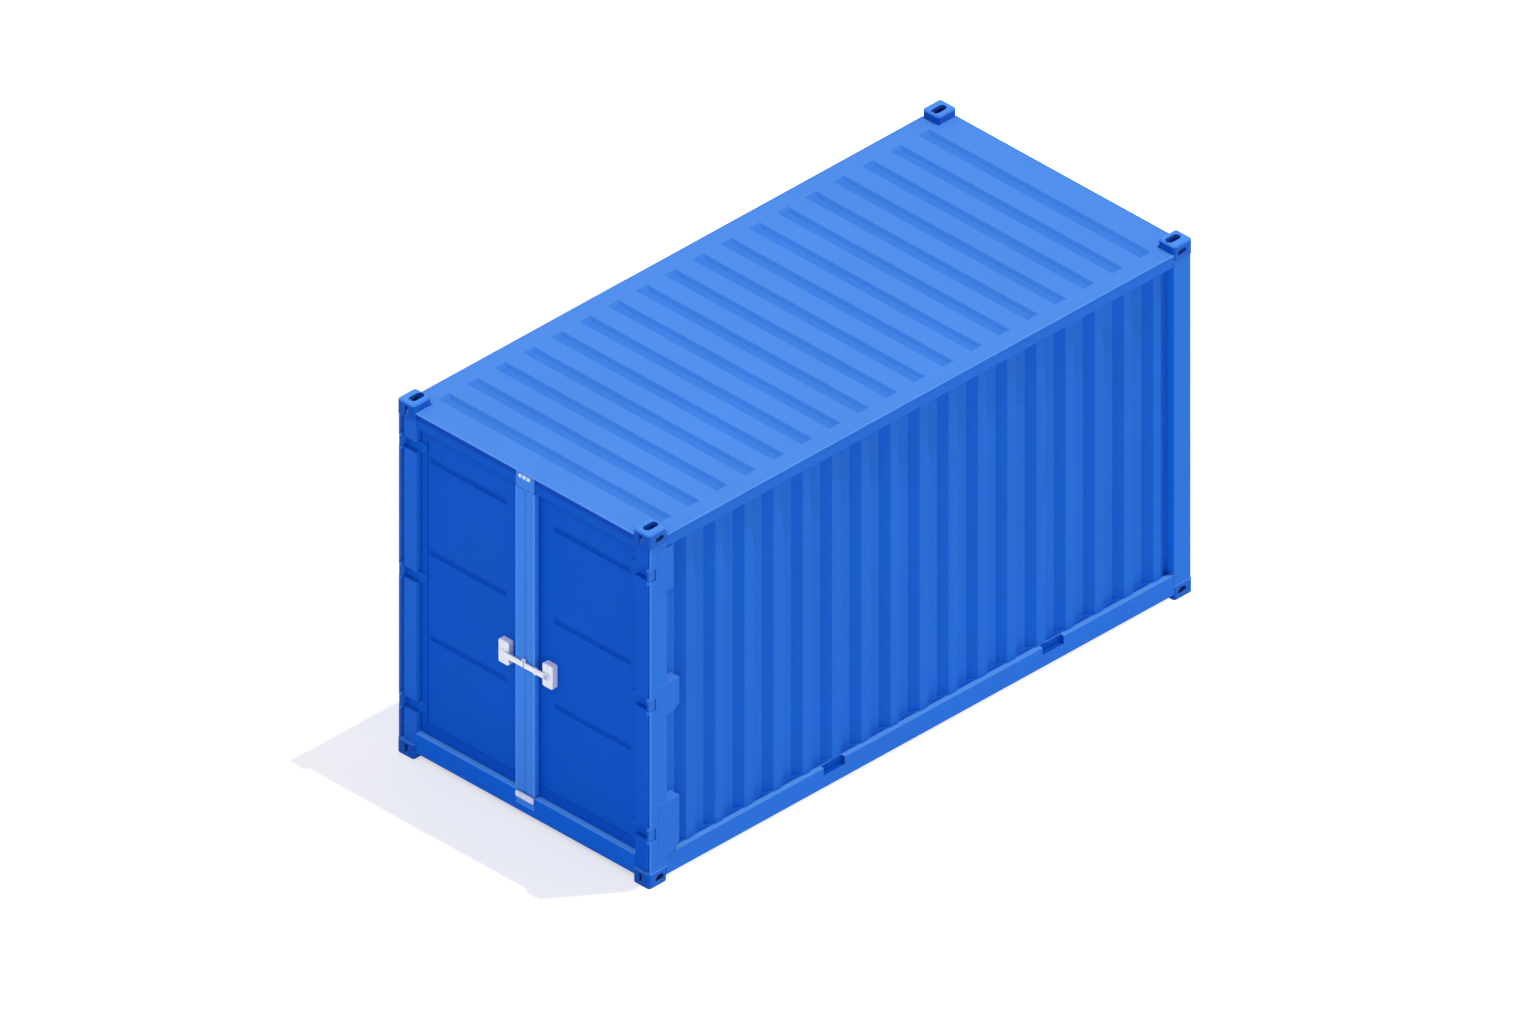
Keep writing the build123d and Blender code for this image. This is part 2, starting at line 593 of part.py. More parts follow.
def hinge_straps():
    """Hinge blades welded to the right-hand leaf."""
    straps = []
    for height in hinge_heights():
        heights = (height - STRAP_HEIGHT / 2, height + STRAP_HEIGHT / 2)
        strap = block((STRAP_DEPTH, LEAF_DEPTH),
                      (PIN_INSET - KNUCKLE_R, LEAF_OUTER_INSET + STRAP_REACH), heights)
        far_edges = strap.edges().filter_by(Axis.X).group_by(Axis.Y)[-1]
        strap = chamfer(far_edges, STRAP_HEIGHT / 8)
        strap += block((PIN_DEPTH, LEAF_DEPTH),
                       (PIN_INSET - KNUCKLE_R, PIN_INSET + KNUCKLE_R), heights)
        strap += post_rod(PIN_DEPTH, PIN_INSET, KNUCKLE_R, *heights)
        strap -= post_rod(PIN_DEPTH, PIN_INSET, PIN_R + PIN_CLEARANCE,
                          heights[0] - 1, heights[1] + 1)
        straps.append(strap)
    return Compound(children=straps)


def centre_bar():
    """Pressed channel down the meeting edge of the right-hand leaf, open to the leaf."""
    far = HALF_W - BAR_SPLIT / 2
    near = far - BAR_WIDTH
    heights = (LEAF_LOW_Z + BAR_END_GAP, LEAF_TOP_Z - BAR_END_GAP)
    bar = block((BAR_FRONT, LEAF_DEPTH), (near, far), heights)
    bar = chamfer(bar.edges().filter_by(Axis.Z).group_by(Axis.X)[0], BAR_CHAMFER)
    inner = block((BAR_FRONT + BAR_SHEET, LEAF_DEPTH + 1), (near + BAR_SHEET, far - BAR_SHEET),
                  (heights[0] - 1, heights[1] + 1))
    inner = chamfer(inner.edges().filter_by(Axis.Z).group_by(Axis.X)[0], BAR_CHAMFER - 1)
    return bar - inner


def strip_caps():
    """Flat ends of the centre strip on the header and the sill."""
    insets = (HALF_W - CAP_WIDTH / 2, HALF_W + CAP_WIDTH / 2)
    depths = (END_SETBACK - CAP_THICKNESS, END_SETBACK)
    top = block(depths, insets, (HEADER_LOW_Z - CAP_LAP, HEADER_LOW_Z + CAP_TOP_HEIGHT))
    low = block(depths, insets, (SILL_TOP_Z - CAP_LOW_HEIGHT, SILL_TOP_Z + CAP_LAP))
    return Compound(children=[top, low])


def keepers():
    """Bright keeper plates on the strip's ends."""
    back = END_SETBACK - CAP_THICKNESS
    plates = []
    for (width, height, offset), datum in ((KEEPER_TOP, HEADER_LOW_Z), (KEEPER_LOW, SILL_TOP_Z)):
        middle = datum + offset if datum == HEADER_LOW_Z else datum - offset
        plate = block((back - KEEPER_THICKNESS, back), (HALF_W - width / 2, HALF_W + width / 2),
                      (middle - height / 2, middle + height / 2))
        plates.append(chamfer(plate.edges().filter_by(Axis.X), KEEPER_CHAMFER))
    return Compound(children=plates)


def lock_box():
    """Pressed cover plate of the lock on the right-hand leaf."""
    inset = HALF_W - LOCK_MIDDLE
    insets = (inset - LOCK_WIDTH / 2, inset + LOCK_WIDTH / 2)
    heights = (LOCK_HEIGHT - LOCK_TALL / 2, LOCK_HEIGHT + LOCK_TALL / 2)
    box = block((LOCK_FRONT, LEAF_DEPTH + PANEL_RECESS), insets, heights)
    box = fillet(box.edges().filter_by(Axis.X), LOCK_R * 2)
    box = chamfer(box.faces().sort_by(Axis.X)[0].edges(), LOCK_R / 2)
    hollow = block((LOCK_FRONT + LOCK_SHEET, LEAF_DEPTH + PANEL_RECESS + 1),
                   (insets[0] + LOCK_SHEET, insets[1] - LOCK_SHEET),
                   (heights[0] + LOCK_SHEET, heights[1] - LOCK_SHEET))
    hollow = chamfer(hollow.edges().filter_by(Axis.X), LOCK_R)
    return box - hollow


def axle(depths, radius):
    """Rod along the length through the middle of the right-hand lock box."""
    centre = Pos((depths[0] + depths[1]) / 2 - HALF_L, -LOCK_MIDDLE, LOCK_HEIGHT)
    return centre * Rot(0, 90, 0) * Cylinder(radius, depths[1] - depths[0])


def lock_arm():
    """Arm from the right-hand lock box to the meeting line, with an ear for a padlock."""
    depths = (ARM_FRONT, ARM_BACK)
    half = ARM_HEIGHT / 2
    tip = HALF_W - ARM_SPLIT / 2
    arm = block(depths, (HALF_W - LOCK_MIDDLE, tip), (LOCK_HEIGHT - half, LOCK_HEIGHT + half))
    arm += axle(depths, ARM_END_R)
    ear = block((ARM_BACK - EAR_DEPTH, ARM_BACK), (tip - EAR_THICKNESS, tip),
                (LOCK_HEIGHT - half, LOCK_HEIGHT + half + EAR_HEIGHT))
    top_edges = ear.edges().filter_by(Axis.Y).group_by(Axis.Z)[-1]
    ear = fillet(top_edges, EAR_DEPTH / 2 - 1)
    bore = Pos(ARM_BACK - EAR_DEPTH / 2 - HALF_L, 0, LOCK_HEIGHT + half + EAR_HEIGHT / 2)
    return arm + ear - bore * Rot(90, 0, 0) * Cylinder(EAR_BORE_R, ARM_SPLIT * 4)


def right_lock():
    """Right-hand lock box with the stud that its arm swings on."""
    boss = axle((ARM_BACK + STUD_GAP, LOCK_FRONT + LOCK_SHEET / 2), BOSS_R)
    stud = axle((ARM_FRONT - STUD_GAP, LOCK_FRONT), PIN_R)
    head = axle((ARM_FRONT - STUD_GAP - STUD_HEAD, ARM_FRONT - STUD_GAP), STUD_HEAD_R)
    return lock_box() + boss + stud + head


def left_lock():
    """Left-hand lock box with its fixed arm."""
    boss = axle((ARM_BACK, LOCK_FRONT + LOCK_SHEET / 2), BOSS_R)
    return left_of(lock_box() + boss + lock_arm())


def swinging_arm():
    """Arm of the right-hand lock, bored for its stud."""
    return lock_arm() - axle((ARM_FRONT - 1, ARM_BACK + 1), PIN_R + PIN_CLEARANCE)


def build_parts():
    """Every node of the container, by name."""
    parts = {}
    corner = bottom_casting()
    for level, lift in (("bottom", lambda s: s), ("top", top_of)):
        for end, turn in (("door", lambda s: s), ("blind", blind_of)):
            right = turn(lift(corner))
            parts[f"casting_{end}_right_{level}"] = right
            parts[f"casting_{end}_left_{level}"] = left_of(right)
    paired = {
        "door_post": door_post(), "blind_post": blind_post(),
        "bottom_side_rail": bottom_side_rail(), "top_side_rail": top_side_rail(),
        "side_wall": side_wall(), "hinge_lugs": hinge_lugs(), "side_plates": side_plates(),
        "door_frame": door_frame(), "door_panel": door_panel(), "door_seal": door_seal(),
        "hinge_straps": hinge_straps(), "centre_bar": centre_bar(),
    }
    for name, right in paired.items():
        parts[f"{name}_right"] = right
        parts[f"{name}_left"] = left_of(right)
    parts.update({
        "door_sill": door_sill(), "door_header": door_header(),
        "blind_bottom_rail": blind_bottom_rail(), "blind_top_rail": blind_top_rail(),
        "blind_end_wall": blind_end_wall(), "roof_panel": roof_panel(),
        "floor_boards": floor_boards(), "cross_members": cross_members(),
        "strip_caps": strip_caps(), "keepers": keepers(),
        "lock_box_right": right_lock(), "lock_box_left": left_lock(), "lock_arm": swinging_arm(),
    })
    return parts


def main():
    """Write one file per node."""
    os.makedirs("parts", exist_ok=True)
    for name, shape in build_parts().items():
        export_step(shape, f"parts/{name}.step")


main()
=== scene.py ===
"""Looks of a short high-cube shipping container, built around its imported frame.

Metres. X runs along the container with the doors at -X, Y across it with the left side
at +Y, and Z up from the ground. Every place below is worked out from the frame's nodes.
"""
import logging
import math
from dataclasses import dataclass, field
from enum import Enum
from typing import Iterable, Sequence

import bmesh
import bpy
import numpy as np
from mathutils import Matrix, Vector


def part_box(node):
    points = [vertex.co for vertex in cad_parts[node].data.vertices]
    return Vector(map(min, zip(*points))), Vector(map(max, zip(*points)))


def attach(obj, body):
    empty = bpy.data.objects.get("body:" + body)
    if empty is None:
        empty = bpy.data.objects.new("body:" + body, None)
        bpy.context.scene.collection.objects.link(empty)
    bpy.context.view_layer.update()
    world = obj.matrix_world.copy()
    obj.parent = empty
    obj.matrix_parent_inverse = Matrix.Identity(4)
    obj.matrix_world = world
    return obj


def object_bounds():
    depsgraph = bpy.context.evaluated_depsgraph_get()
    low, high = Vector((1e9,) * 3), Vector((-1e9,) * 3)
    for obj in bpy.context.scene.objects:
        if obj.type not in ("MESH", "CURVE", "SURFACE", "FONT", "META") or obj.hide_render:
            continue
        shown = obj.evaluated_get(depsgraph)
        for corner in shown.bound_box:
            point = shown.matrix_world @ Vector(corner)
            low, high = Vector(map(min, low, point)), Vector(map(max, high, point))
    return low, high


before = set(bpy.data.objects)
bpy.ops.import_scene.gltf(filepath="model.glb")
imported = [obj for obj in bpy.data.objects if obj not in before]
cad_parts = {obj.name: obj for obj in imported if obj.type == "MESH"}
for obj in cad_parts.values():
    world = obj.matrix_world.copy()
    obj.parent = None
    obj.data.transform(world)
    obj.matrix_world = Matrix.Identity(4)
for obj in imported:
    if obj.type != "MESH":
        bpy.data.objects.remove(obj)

LOG = logging.getLogger("container")
CAD_BOUNDS = [list(map(float, corner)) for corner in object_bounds()]

# Photograph
PHOTO_WIDTH_PX = 1535
PHOTO_HEIGHT_PX = 1025
PHOTO_PX_PER_M = 146.585
VIEW_AZIMUTH_DEG = -44.95
VIEW_ELEVATION_DEG = 33.474
MIDDLE_AT_PX = (794.75, 494.65)        # where the middle of the container's box falls
CAMERA_DISTANCE = 20.0
CAMERA_REACH = 200.0                   # farthest that it sees

# Trim
SUNK = 0.0004                          # how far it is set into the steel under it
SKIN = 0.0005                          # vertices this near a face lie on it
DECIMALS = 4                           # of a coordinate by which vertices are grouped

# Sections of trim: points as shares of run and rise, or of radius and height
WELD_FACE = np.array([[0.66, 0.36], [0.36, 0.66]])
SEAM_FACE = np.array([[0.55, 0.32], [0.2, 0.72]])
BOLT_DOME = np.array([[1.0, 0.35], [0.82, 0.8], [0.45, 1.0]])
SCREW_DOME = np.array([[1.0, 0.3], [0.6, 1.0]])

WHITE = "FFFFFF"


class Body(Enum):
    """Bodies that the pieces ride on."""

    FRAME = "container_frame"
    LEFT_DOOR = "left_door"
    RIGHT_DOOR = "right_door"
    LOCK_ARM = "lock_arm"


class Side(Enum):
    """Long side of the container, with the sign of its Y."""

    RIGHT = -1
    LEFT = 1

    @property
    def word(self) -> str:
        """Name of the side as the nodes spell it."""
        return self.name.lower()

    @property
    def door(self) -> Body:
        """Body of the door leaf on this side."""
        return Body.LEFT_DOOR if self is Side.LEFT else Body.RIGHT_DOOR


def linear(hex_colour: str) -> tuple[float, float, float, float]:
    """Turn an sRGB hex colour into linear light.

    Args:
        hex_colour: six hex digits.

    Returns:
        Linear red, green, blue and an alpha of 1.
    """
    channels = [int(hex_colour[i:i + 2], 16) / 255 for i in (0, 2, 4)]
    curve = [c / 12.92 if c <= 0.04045 else ((c + 0.055) / 1.055) ** 2.4 for c in channels]
    return (*curve, 1.0)


def plug(tree: bpy.types.NodeTree, value: object, socket: bpy.types.NodeSocket) -> None:
    """Set a node's input, or link it.

    Args:
        tree: node tree of the input.
        value: a number, colour or vector, an output, or a node for its first output in use.
        socket: the input.
    """
    if isinstance(value, bpy.types.Node):
        value = next(output for output in value.outputs if output.enabled)
    if isinstance(value, bpy.types.NodeSocket):
        tree.links.new(value, socket)
    else:
        socket.default_value = value


def add_node(tree: bpy.types.NodeTree, kind: str, inputs: dict | Sequence = (),
             **settings: object) -> bpy.types.Node:
    """Add one shader node with its settings and links.

    Args:
        tree: node tree that gets it.
        kind: Blender's node type.
        inputs: what to plug into its inputs, by name, or in the order of those in use.
        settings: attributes of the node.

    Returns:
        The new node.
    """
    node = tree.nodes.new(kind)
    for key, value in settings.items():
        setattr(node, key, value)
    if isinstance(inputs, dict):
        pairs = [(node.inputs[key], value) for key, value in inputs.items()]
    else:
        pairs = list(zip([socket for socket in node.inputs if socket.enabled], inputs))
    for socket, value in pairs:
        plug(tree, value, socket)
    return node


def blotches(tree: bpy.types.NodeTree, size_mm: float, detail: float,
             stretch: tuple[float, float, float] = (1.0, 1.0, 1.0)) -> bpy.types.Node:
    """Spread soft blotches of a real size over a piece, in object coordinates.

    Args:
        tree: node tree that gets them.
        size_mm: size of one blotch.
        detail: octaves of finer ones on top.
        stretch: scale along each axis before the noise.

    Returns:
        The noise node, with values from 0 to 1.
    """
    place = add_node(tree, "ShaderNodeTexCoord").outputs["Object"]
    drawn = add_node(tree, "ShaderNodeMapping", {"Vector": place, "Scale": stretch})
    return add_node(tree, "ShaderNodeTexNoise", {
        "Vector": drawn, "Scale": 1000.0 / size_mm, "Detail": detail})


@dataclass(frozen=True)
class Finish:
    """Base of every finish: a name and the values of its principled shader."""

    name: str
    roughness: float = 0.5
    metallic: float = 0.0
    specular: float = 0.5
    ior: float = 1.5            # of paint, varnish and rubber alike, and the default of a metal

    def shade(self, tree: bpy.types.NodeTree, shader: bpy.types.Node) -> None:
        """Add the finish's own colour and pattern to the shader in a material's tree."""
        raise NotImplementedError

    @staticmethod
    def cover(tree: bpy.types.NodeTree, shader: bpy.types.Node, colour: bpy.types.Node,
              relief: bpy.types.Node, depth_mm: float) -> None:
        """Give a shader its colour and raise its surface.

        Args:
            tree: node tree of the material.
            shader: its principled shader.
            colour: node of the colour.
            relief: node of the pattern that raises the surface, from 0 to 1.
            depth_mm: height of the pattern's peaks.
        """
        raised = add_node(tree, "ShaderNodeBump", {"Distance": depth_mm / 1000, "Height": relief})
        plug(tree, colour, shader.inputs["Base Color"])
        plug(tree, raised, shader.inputs["Normal"])

    def material(self) -> bpy.types.Material:
        """Make the material, or give the one already made.

        Returns:
            The material that carries this finish.
        """
        made = bpy.data.materials.get(self.name)
        if made:
            return made
        made = bpy.data.materials.new(self.name)
        made.use_nodes = True
        tree = made.node_tree
        shader = tree.nodes["Principled BSDF"]
        for key, value in (("Roughness", self.roughness), ("Metallic", self.metallic),
                           ("Specular IOR Level", self.specular), ("IOR", self.ior)):
            plug(tree, value, shader.inputs[key])
        self.shade(tree, shader)
        return made


class Axis(Enum):
    """Axis of the container, as an index."""

    LENGTH = 0
    WIDTH = 1
    HEIGHT = 2


class Facing(Enum):
    """Faces of a piece that a zone's tint reaches."""

    ANY = "any"
    UP = "up"
    LEVEL = "level"


@dataclass(frozen=True)
class Zone:
    """Stretch of a piece, across one axis of the container, whose coat has another tint, mostly as
    painted light and shade.
    """

    axis: Axis
    edge: float                 # it reaches this far from the middle, or from the ground
    colour: str
    blend: float = 0.001        # width of the change
    facing: Facing = Facing.ANY


@dataclass(frozen=True)
class Coat(Finish):
    """Base of the sprayed paints: patches in which the tint has faded, and orange peel."""

    fade: float = 0.03          # share by which the tint rises and falls
    fade_size_mm: float = 900.0
    fade_detail: float = 3.0
    fade_span: tuple[float, float] = (0.3, 0.7)     # where most of the noise's values lie
    peel_size_mm: float = 14.0  # real orange peel is about 2 mm; drawn coarser so it shows
    peel_depth_mm: float = 0.15

    def weather(self, tree: bpy.types.NodeTree, shader: bpy.types.Node, colour: object) -> None:
        """Lay a colour on the shader, faded in patches, and raise the orange peel.

        Args:
            tree: node tree of the material.
            shader: its principled shader.
            colour: red, green and blue, or a node.
        """
        patch = blotches(tree, self.fade_size_mm, self.fade_detail)
        shade = add_node(tree, "ShaderNodeMapRange", (
            patch, *self.fade_span, 1 - self.fade, 1 + self.fade))
        faded = add_node(tree, "ShaderNodeVectorMath", (colour, shade), operation="SCALE")
        peel = blotches(tree, self.peel_size_mm, 1.0)
        self.cover(tree, shader, faded, peel, self.peel_depth_mm)


@dataclass(frozen=True)
class ContainerPaint(Coat):
    """Sprayed chlorinated-rubber marine paint on corrugated steel, chalked until it is matt.

    Light and shade are painted into the coat by the way a face is turned: a piece carries
    three tints of one blue, the palest as painted light on faces turned up, a middle one
    across and the deepest as painted shade on the ends.
    Each span is the part of the normal's component over which one tint gives way to another.
    """

    roughness: float = 0.62
    specular: float = 0.05
    # tints by facing: painted light on faces turned up, painted shade on the ends
    sky: str = "4F8EEE"
    across: str = "357EED"
    end: str = "0D67E8"
    one_way: bool = False       # whether only faces turned to the doors take the end tint of painted shade
    # zones of further painted light and shade
    zones: tuple[Zone, ...] = ()
    up_span: tuple[float, float] = (0.35, 0.9)
    end_span: tuple[float, float] = (0.15, 0.95)
    doorward_span: tuple[float, float] = (-0.4, -0.2)

    def shade(self, tree: bpy.types.NodeTree, shader: bpy.types.Node) -> None:
        """Paint light and shade by the way a face is turned and by zone, then weather the coat.

        Args:
            tree: node tree of the material.
            shader: its principled shader.
        """
        place = add_node(tree, "ShaderNodeTexCoord").outputs
        facing = add_node(tree, "ShaderNodeSeparateXYZ", (place["Normal"],)).outputs
        up = add_node(tree, "ShaderNodeMapRange", (facing["Z"], *self.up_span, 0.0, 1.0))
        if self.one_way:
            to_end = add_node(tree, "ShaderNodeMapRange", (
                facing["X"], *self.doorward_span, 1.0, 0.0))
        else:
            lengthways = add_node(tree, "ShaderNodeMath", (facing["X"],), operation="ABSOLUTE")
            to_end = add_node(tree, "ShaderNodeMapRange", (lengthways, *self.end_span, 0.0, 1.0))
        colour = add_node(tree, "ShaderNodeMix", (
            to_end, linear(self.across), linear(self.end)), data_type="RGBA")
        colour = add_node(tree, "ShaderNodeMix", (up, colour, linear(self.sky)), data_type="RGBA")
        level = add_node(tree, "ShaderNodeMapRange", (up, 0.0, 1.0, 1.0, 0.0))
        reach = {Facing.ANY: 1.0, Facing.UP: up, Facing.LEVEL: level}
        spot = add_node(tree, "ShaderNodeSeparateXYZ", (place["Object"],)).outputs
        for zone in self.zones:
            distance = add_node(tree, "ShaderNodeMath", (spot[zone.axis.value],),
                                operation="ABSOLUTE")
            inside = add_node(tree, "ShaderNodeMapRange", (
                distance, zone.edge - zone.blend, zone.edge, reach[zone.facing], 0.0))
            colour = add_node(tree, "ShaderNodeMix", (inside, colour, linear(zone.colour)),
                              data_type="RGBA")
        self.weather(tree, shader, colour)


@dataclass(frozen=True)
class PlainPaint(Coat):
    """Brushed or sprayed enamel of one colour, a little uneven and with fine orange peel."""

    colour: str = "E8EAF5"
    fade_size_mm: float = 120.0
    fade_detail: float = 2.0
    peel_size_mm: float = 10.0
    peel_depth_mm: float = 0.12

    def shade(self, tree: bpy.types.NodeTree, shader: bpy.types.Node) -> None:
        """Lay the one colour on the shader in a material's tree, and weather it."""
        self.weather(tree, shader, linear(self.colour)[:3])


@dataclass(frozen=True)
class Rubber(Finish):
    """Extruded EPDM: matt and slightly dusty."""

    colour: str = "0E46A8"
    dust: str = "2A62C0"
    dust_size_mm: float = 60.0
    dust_span: tuple[float, float] = (0.45, 0.75)
    dust_share: float = 0.35    # at its thickest
    dust_depth_mm: float = 0.3

    def shade(self, tree: bpy.types.NodeTree, shader: bpy.types.Node) -> None:
        """Mottle the rubber with dust.

        Args:
            tree: node tree of the material.
            shader: its principled shader.
        """
        dust = blotches(tree, self.dust_size_mm, 3.0)
        share = add_node(tree, "ShaderNodeMapRange", (dust, *self.dust_span, 0.0, self.dust_share))
        colour = add_node(tree, "ShaderNodeMix", (
            share, linear(self.colour), linear(self.dust)), data_type="RGBA")
        self.cover(tree, shader, colour, dust, self.dust_depth_mm)


@dataclass(frozen=True)
class Plywood(Finish):
    """Varnished hardwood plywood: long grain, darker bands and a worn satin coat."""

    pale: str = "A67A50"
    dark: str = "7A5232"
    grain_mm: float = 9.0
    grain_stretch: tuple[float, float, float] = (0.06, 1.0, 1.0)
    grain_span: tuple[float, float] = (0.35, 0.68)
    grain_depth_mm: float = 0.5
    band_mm: float = 300.0
    band_stretch: tuple[float, float, float] = (0.3, 1.0, 1.0)
    band_span: tuple[float, float] = (0.3, 0.7)
    band_tone: tuple[float, float] = (0.85, 1.1)    # of the darkest and the palest band

    def shade(self, tree: bpy.types.NodeTree, shader: bpy.types.Node) -> None:
        """Draw grain and bands along the length of the container.

        Args:
            tree: node tree of the material.
            shader: its principled shader.
        """
        grain = blotches(tree, self.grain_mm, 4.0, self.grain_stretch)
        band = blotches(tree, self.band_mm, 2.0, self.band_stretch)
        share = add_node(tree, "ShaderNodeMapRange", (grain, *self.grain_span, 0.0, 1.0))
        colour = add_node(tree, "ShaderNodeMix", (
            share, linear(self.dark), linear(self.pale)), data_type="RGBA")
        tone = add_node(tree, "ShaderNodeMapRange", (band, *self.band_span, *self.band_tone))
        banded = add_node(tree, "ShaderNodeVectorMath", (colour, tone), operation="SCALE")
        self.cover(tree, shader, banded, grain, self.grain_depth_mm)


@dataclass(frozen=True)
class Zinc(Finish):
    """Hot-dip zinc on steel: mid grey with soft spangles."""

    pale: str = "C4CCDA"
    dark: str = "98A2B4"
    spangle_mm: float = 100 / 9
    spangle_span: tuple[float, float] = (0.1, 0.8)
    spangle_depth_mm: float = 0.1

    def shade(self, tree: bpy.types.NodeTree, shader: bpy.types.Node) -> None:
        """Mottle the zinc with its spangle.

        Args:
            tree: node tree of the material.
            shader: its principled shader.
        """
        place = add_node(tree, "ShaderNodeTexCoord").outputs["Object"]
        spangle = add_node(tree, "ShaderNodeTexVoronoi", {
            "Vector": place, "Scale": 1000.0 / self.spangle_mm})
        share = add_node(tree, "ShaderNodeMapRange", (spangle, *self.spangle_span, 0.0, 1.0))
        colour = add_node(tree, "ShaderNodeMix", (
            share, linear(self.dark), linear(self.pale)), data_type="RGBA")
        self.cover(tree, shader, colour, spangle, self.spangle_depth_mm)


OUT_RIGHT = np.array([0.0, -1.0, 0.0])
UP = np.array([0.0, 0.0, 1.0])
ALONG = np.array([1.0, 0.0, 0.0])
ACROSS = np.array([0.0, 1.0, 0.0])


def node_box(name: str) -> tuple[np.ndarray, np.ndarray]:
    """Lowest and highest corner of a node, as arrays."""
    low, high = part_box(name)
    return np.array(low), np.array(high)


# Places where the tint of a coat changes, for painted light and shade
ROOF_TOP = float(node_box("roof_panel")[1][2])
WALL_CREST_Y = float(node_box("side_wall_left")[1][1])
LEAF_FOOT = float(node_box("door_frame_left")[0][2])
PANEL_X = float(-node_box("door_panel_left")[0][0])
POST_FRONT_X = float(-node_box("door_post_left")[0][0])
POST_SIDE_Y = float(node_box("door_post_left")[1][1])
POST_INNER_Y = float(node_box("door_post_left")[0][1])
BLIND_INNER_X = float(node_box("blind_post_left")[0][0])
RAIL_TOP = float(node_box("bottom_side_rail_left")[1][2])
RAIL_SIDE_Y = float(node_box("bottom_side_rail_left")[1][1])

# Sizes of the painted light and shade
POST_HIGHLIGHT_DEPTH = 0.016         # painted highlight along a door post's side, its depth from the front
POST_LIP_WIDTH = 0.007          # lip outside its recess
POST_FRONT_INSET = 0.040        # its flat front, from its side
POST_INNER_LIGHT = 0.003         # painted light on its inner side, against the shade there
BLIND_LIGHT_LAP = 0.002               # painted light on a blind post's inner face, against its shade, reaching this far onto its side
CREST_LAP = 0.001               # shade on a bottom rail starts this far behind the wall's crests
POCKET_SHADE_DEPTH = 0.020            # painted shade in a pocket of a bottom rail, from the rail's side
POCKET_SHADE_SINK = 0.006             # and on the pocket's floor, from the rail's top
EAVE_SHADE_HEIGHT = 0.045             # painted shade on the header under the roof's edge, from the roof's top
LEAF_SHADE_HEIGHT = 0.085       # shade along the foot of a leaf
STRIP_MIDDLE = 0.035            # half of the strip's middle, which has one tint all over

# Widths of the change at their edges, where it is softer than a line
EDGE_BLEND = 0.002
STRIP_BLEND = 0.004
SOFT_BLEND = 0.012


def door_post_paint(name: str, front: str, recess: str) -> ContainerPaint:
    """Finish of a door post, by the tints that differ from post to post.

    Args:
        name: name of the finish.
        front: tint of the flat front, a painted shade.
        recess: tint of the recess beside the front, where the hinge pins stand; painted light and
            shade that differ from post to post.

    Returns:
        The finish, with painted light and shade: pale on the side, a painted highlight along its
            front edge and painted light on its inner side.
    """
    return ContainerPaint(name, sky="4B87E0", across="3C81E4", end="3C81E4", zones=(
        Zone(Axis.LENGTH, POST_FRONT_X - POST_HIGHLIGHT_DEPTH, "3075D9"),
        Zone(Axis.WIDTH, POST_SIDE_Y - POST_LIP_WIDTH, recess),
        Zone(Axis.WIDTH, POST_SIDE_Y - POST_FRONT_INSET, front),
        Zone(Axis.WIDTH, POST_INNER_Y + POST_INNER_LIGHT, "2075E1")))


# Chalked marine paint on heavy steel: matt blues, with painted light, palest, on what faces the sky
# and painted shade on the ends
# the blind posts' inner faces are painted lighter, against their shade
FRAME_PAINT = ContainerPaint("frame_paint", sky="4B87E0", across="3075D8", end="0C58C4",
                             zones=(Zone(Axis.LENGTH, BLIND_INNER_X + BLIND_LIGHT_LAP, "1B7AE8"),))
CASTING_PAINT = ContainerPaint("casting_paint_coat", sky="4C8CE8", across="2466C8", end="0A50B8")
# door posts: painted highlights and shade; the left post's front is painted lighter, and its recess
# darker as painted shade, than the right-hand post's
POST_PAINT = door_post_paint("door_post_paint", "0053C2", "2C78E2")
LEFT_POST_PAINT = door_post_paint("left_door_post_paint", "175DC7", "0050C0")
PLATE_PAINT = ContainerPaint("side_plate_paint", sky="4C8CE0", across="2E74D8", end="2E74D8")
# bottom rails: a painted highlight on the top ledge, painted shade behind the wall's crests and in
# the pockets
RAIL_PAINT = ContainerPaint(
    "bottom_rail_paint", sky="5E9DE4", across="2A72D6", end="0450BE",
    zones=(Zone(Axis.WIDTH, WALL_CREST_Y - CREST_LAP, "1458BA", EDGE_BLEND),
           Zone(Axis.WIDTH, RAIL_SIDE_Y - POCKET_SHADE_DEPTH, "0450BE", facing=Facing.LEVEL),
           Zone(Axis.HEIGHT, RAIL_TOP - POCKET_SHADE_SINK, "0A54C0", EDGE_BLEND, Facing.UP)))
TOP_RAIL_PAINT = ContainerPaint("top_rail_paint", sky="4B87E0", across="256DD3")
# sill: its top ledge is painted bright as a highlight, though it lies in the doors' shade
SILL_PAINT = ContainerPaint("sill_paint", sky="5CA8FF", across="0A61D3", end="0A5ED0")
# header: painted shade under the roof's edge, deepest along the top
HEADER_PAINT = ContainerPaint("header_paint", sky="4B87E0", across="0043AF", end="0043AF",
                              zones=(Zone(Axis.HEIGHT, ROOF_TOP - EAVE_SHADE_HEIGHT, "0051C0",
                                          SOFT_BLEND),))

# The same coat on thin pressed sheet, with painted shade on the slopes of the corrugation and in
# the roof's troughs
WALL_PAINT = ContainerPaint("wall_paint", sky="1A60CC", across="246CD1", end="1662CE",
                            one_way=True)
END_WALL_PAINT = ContainerPaint("end_wall_paint", across="0A55C0", end="1464D4")
ROOF_PAINT = ContainerPaint("roof_marine_paint", sky="4B87E0", across="2F70D4", end="2F70D4",
                            zones=(Zone(Axis.HEIGHT, ROOF_TOP - SKIN, "3C7DDA"),))

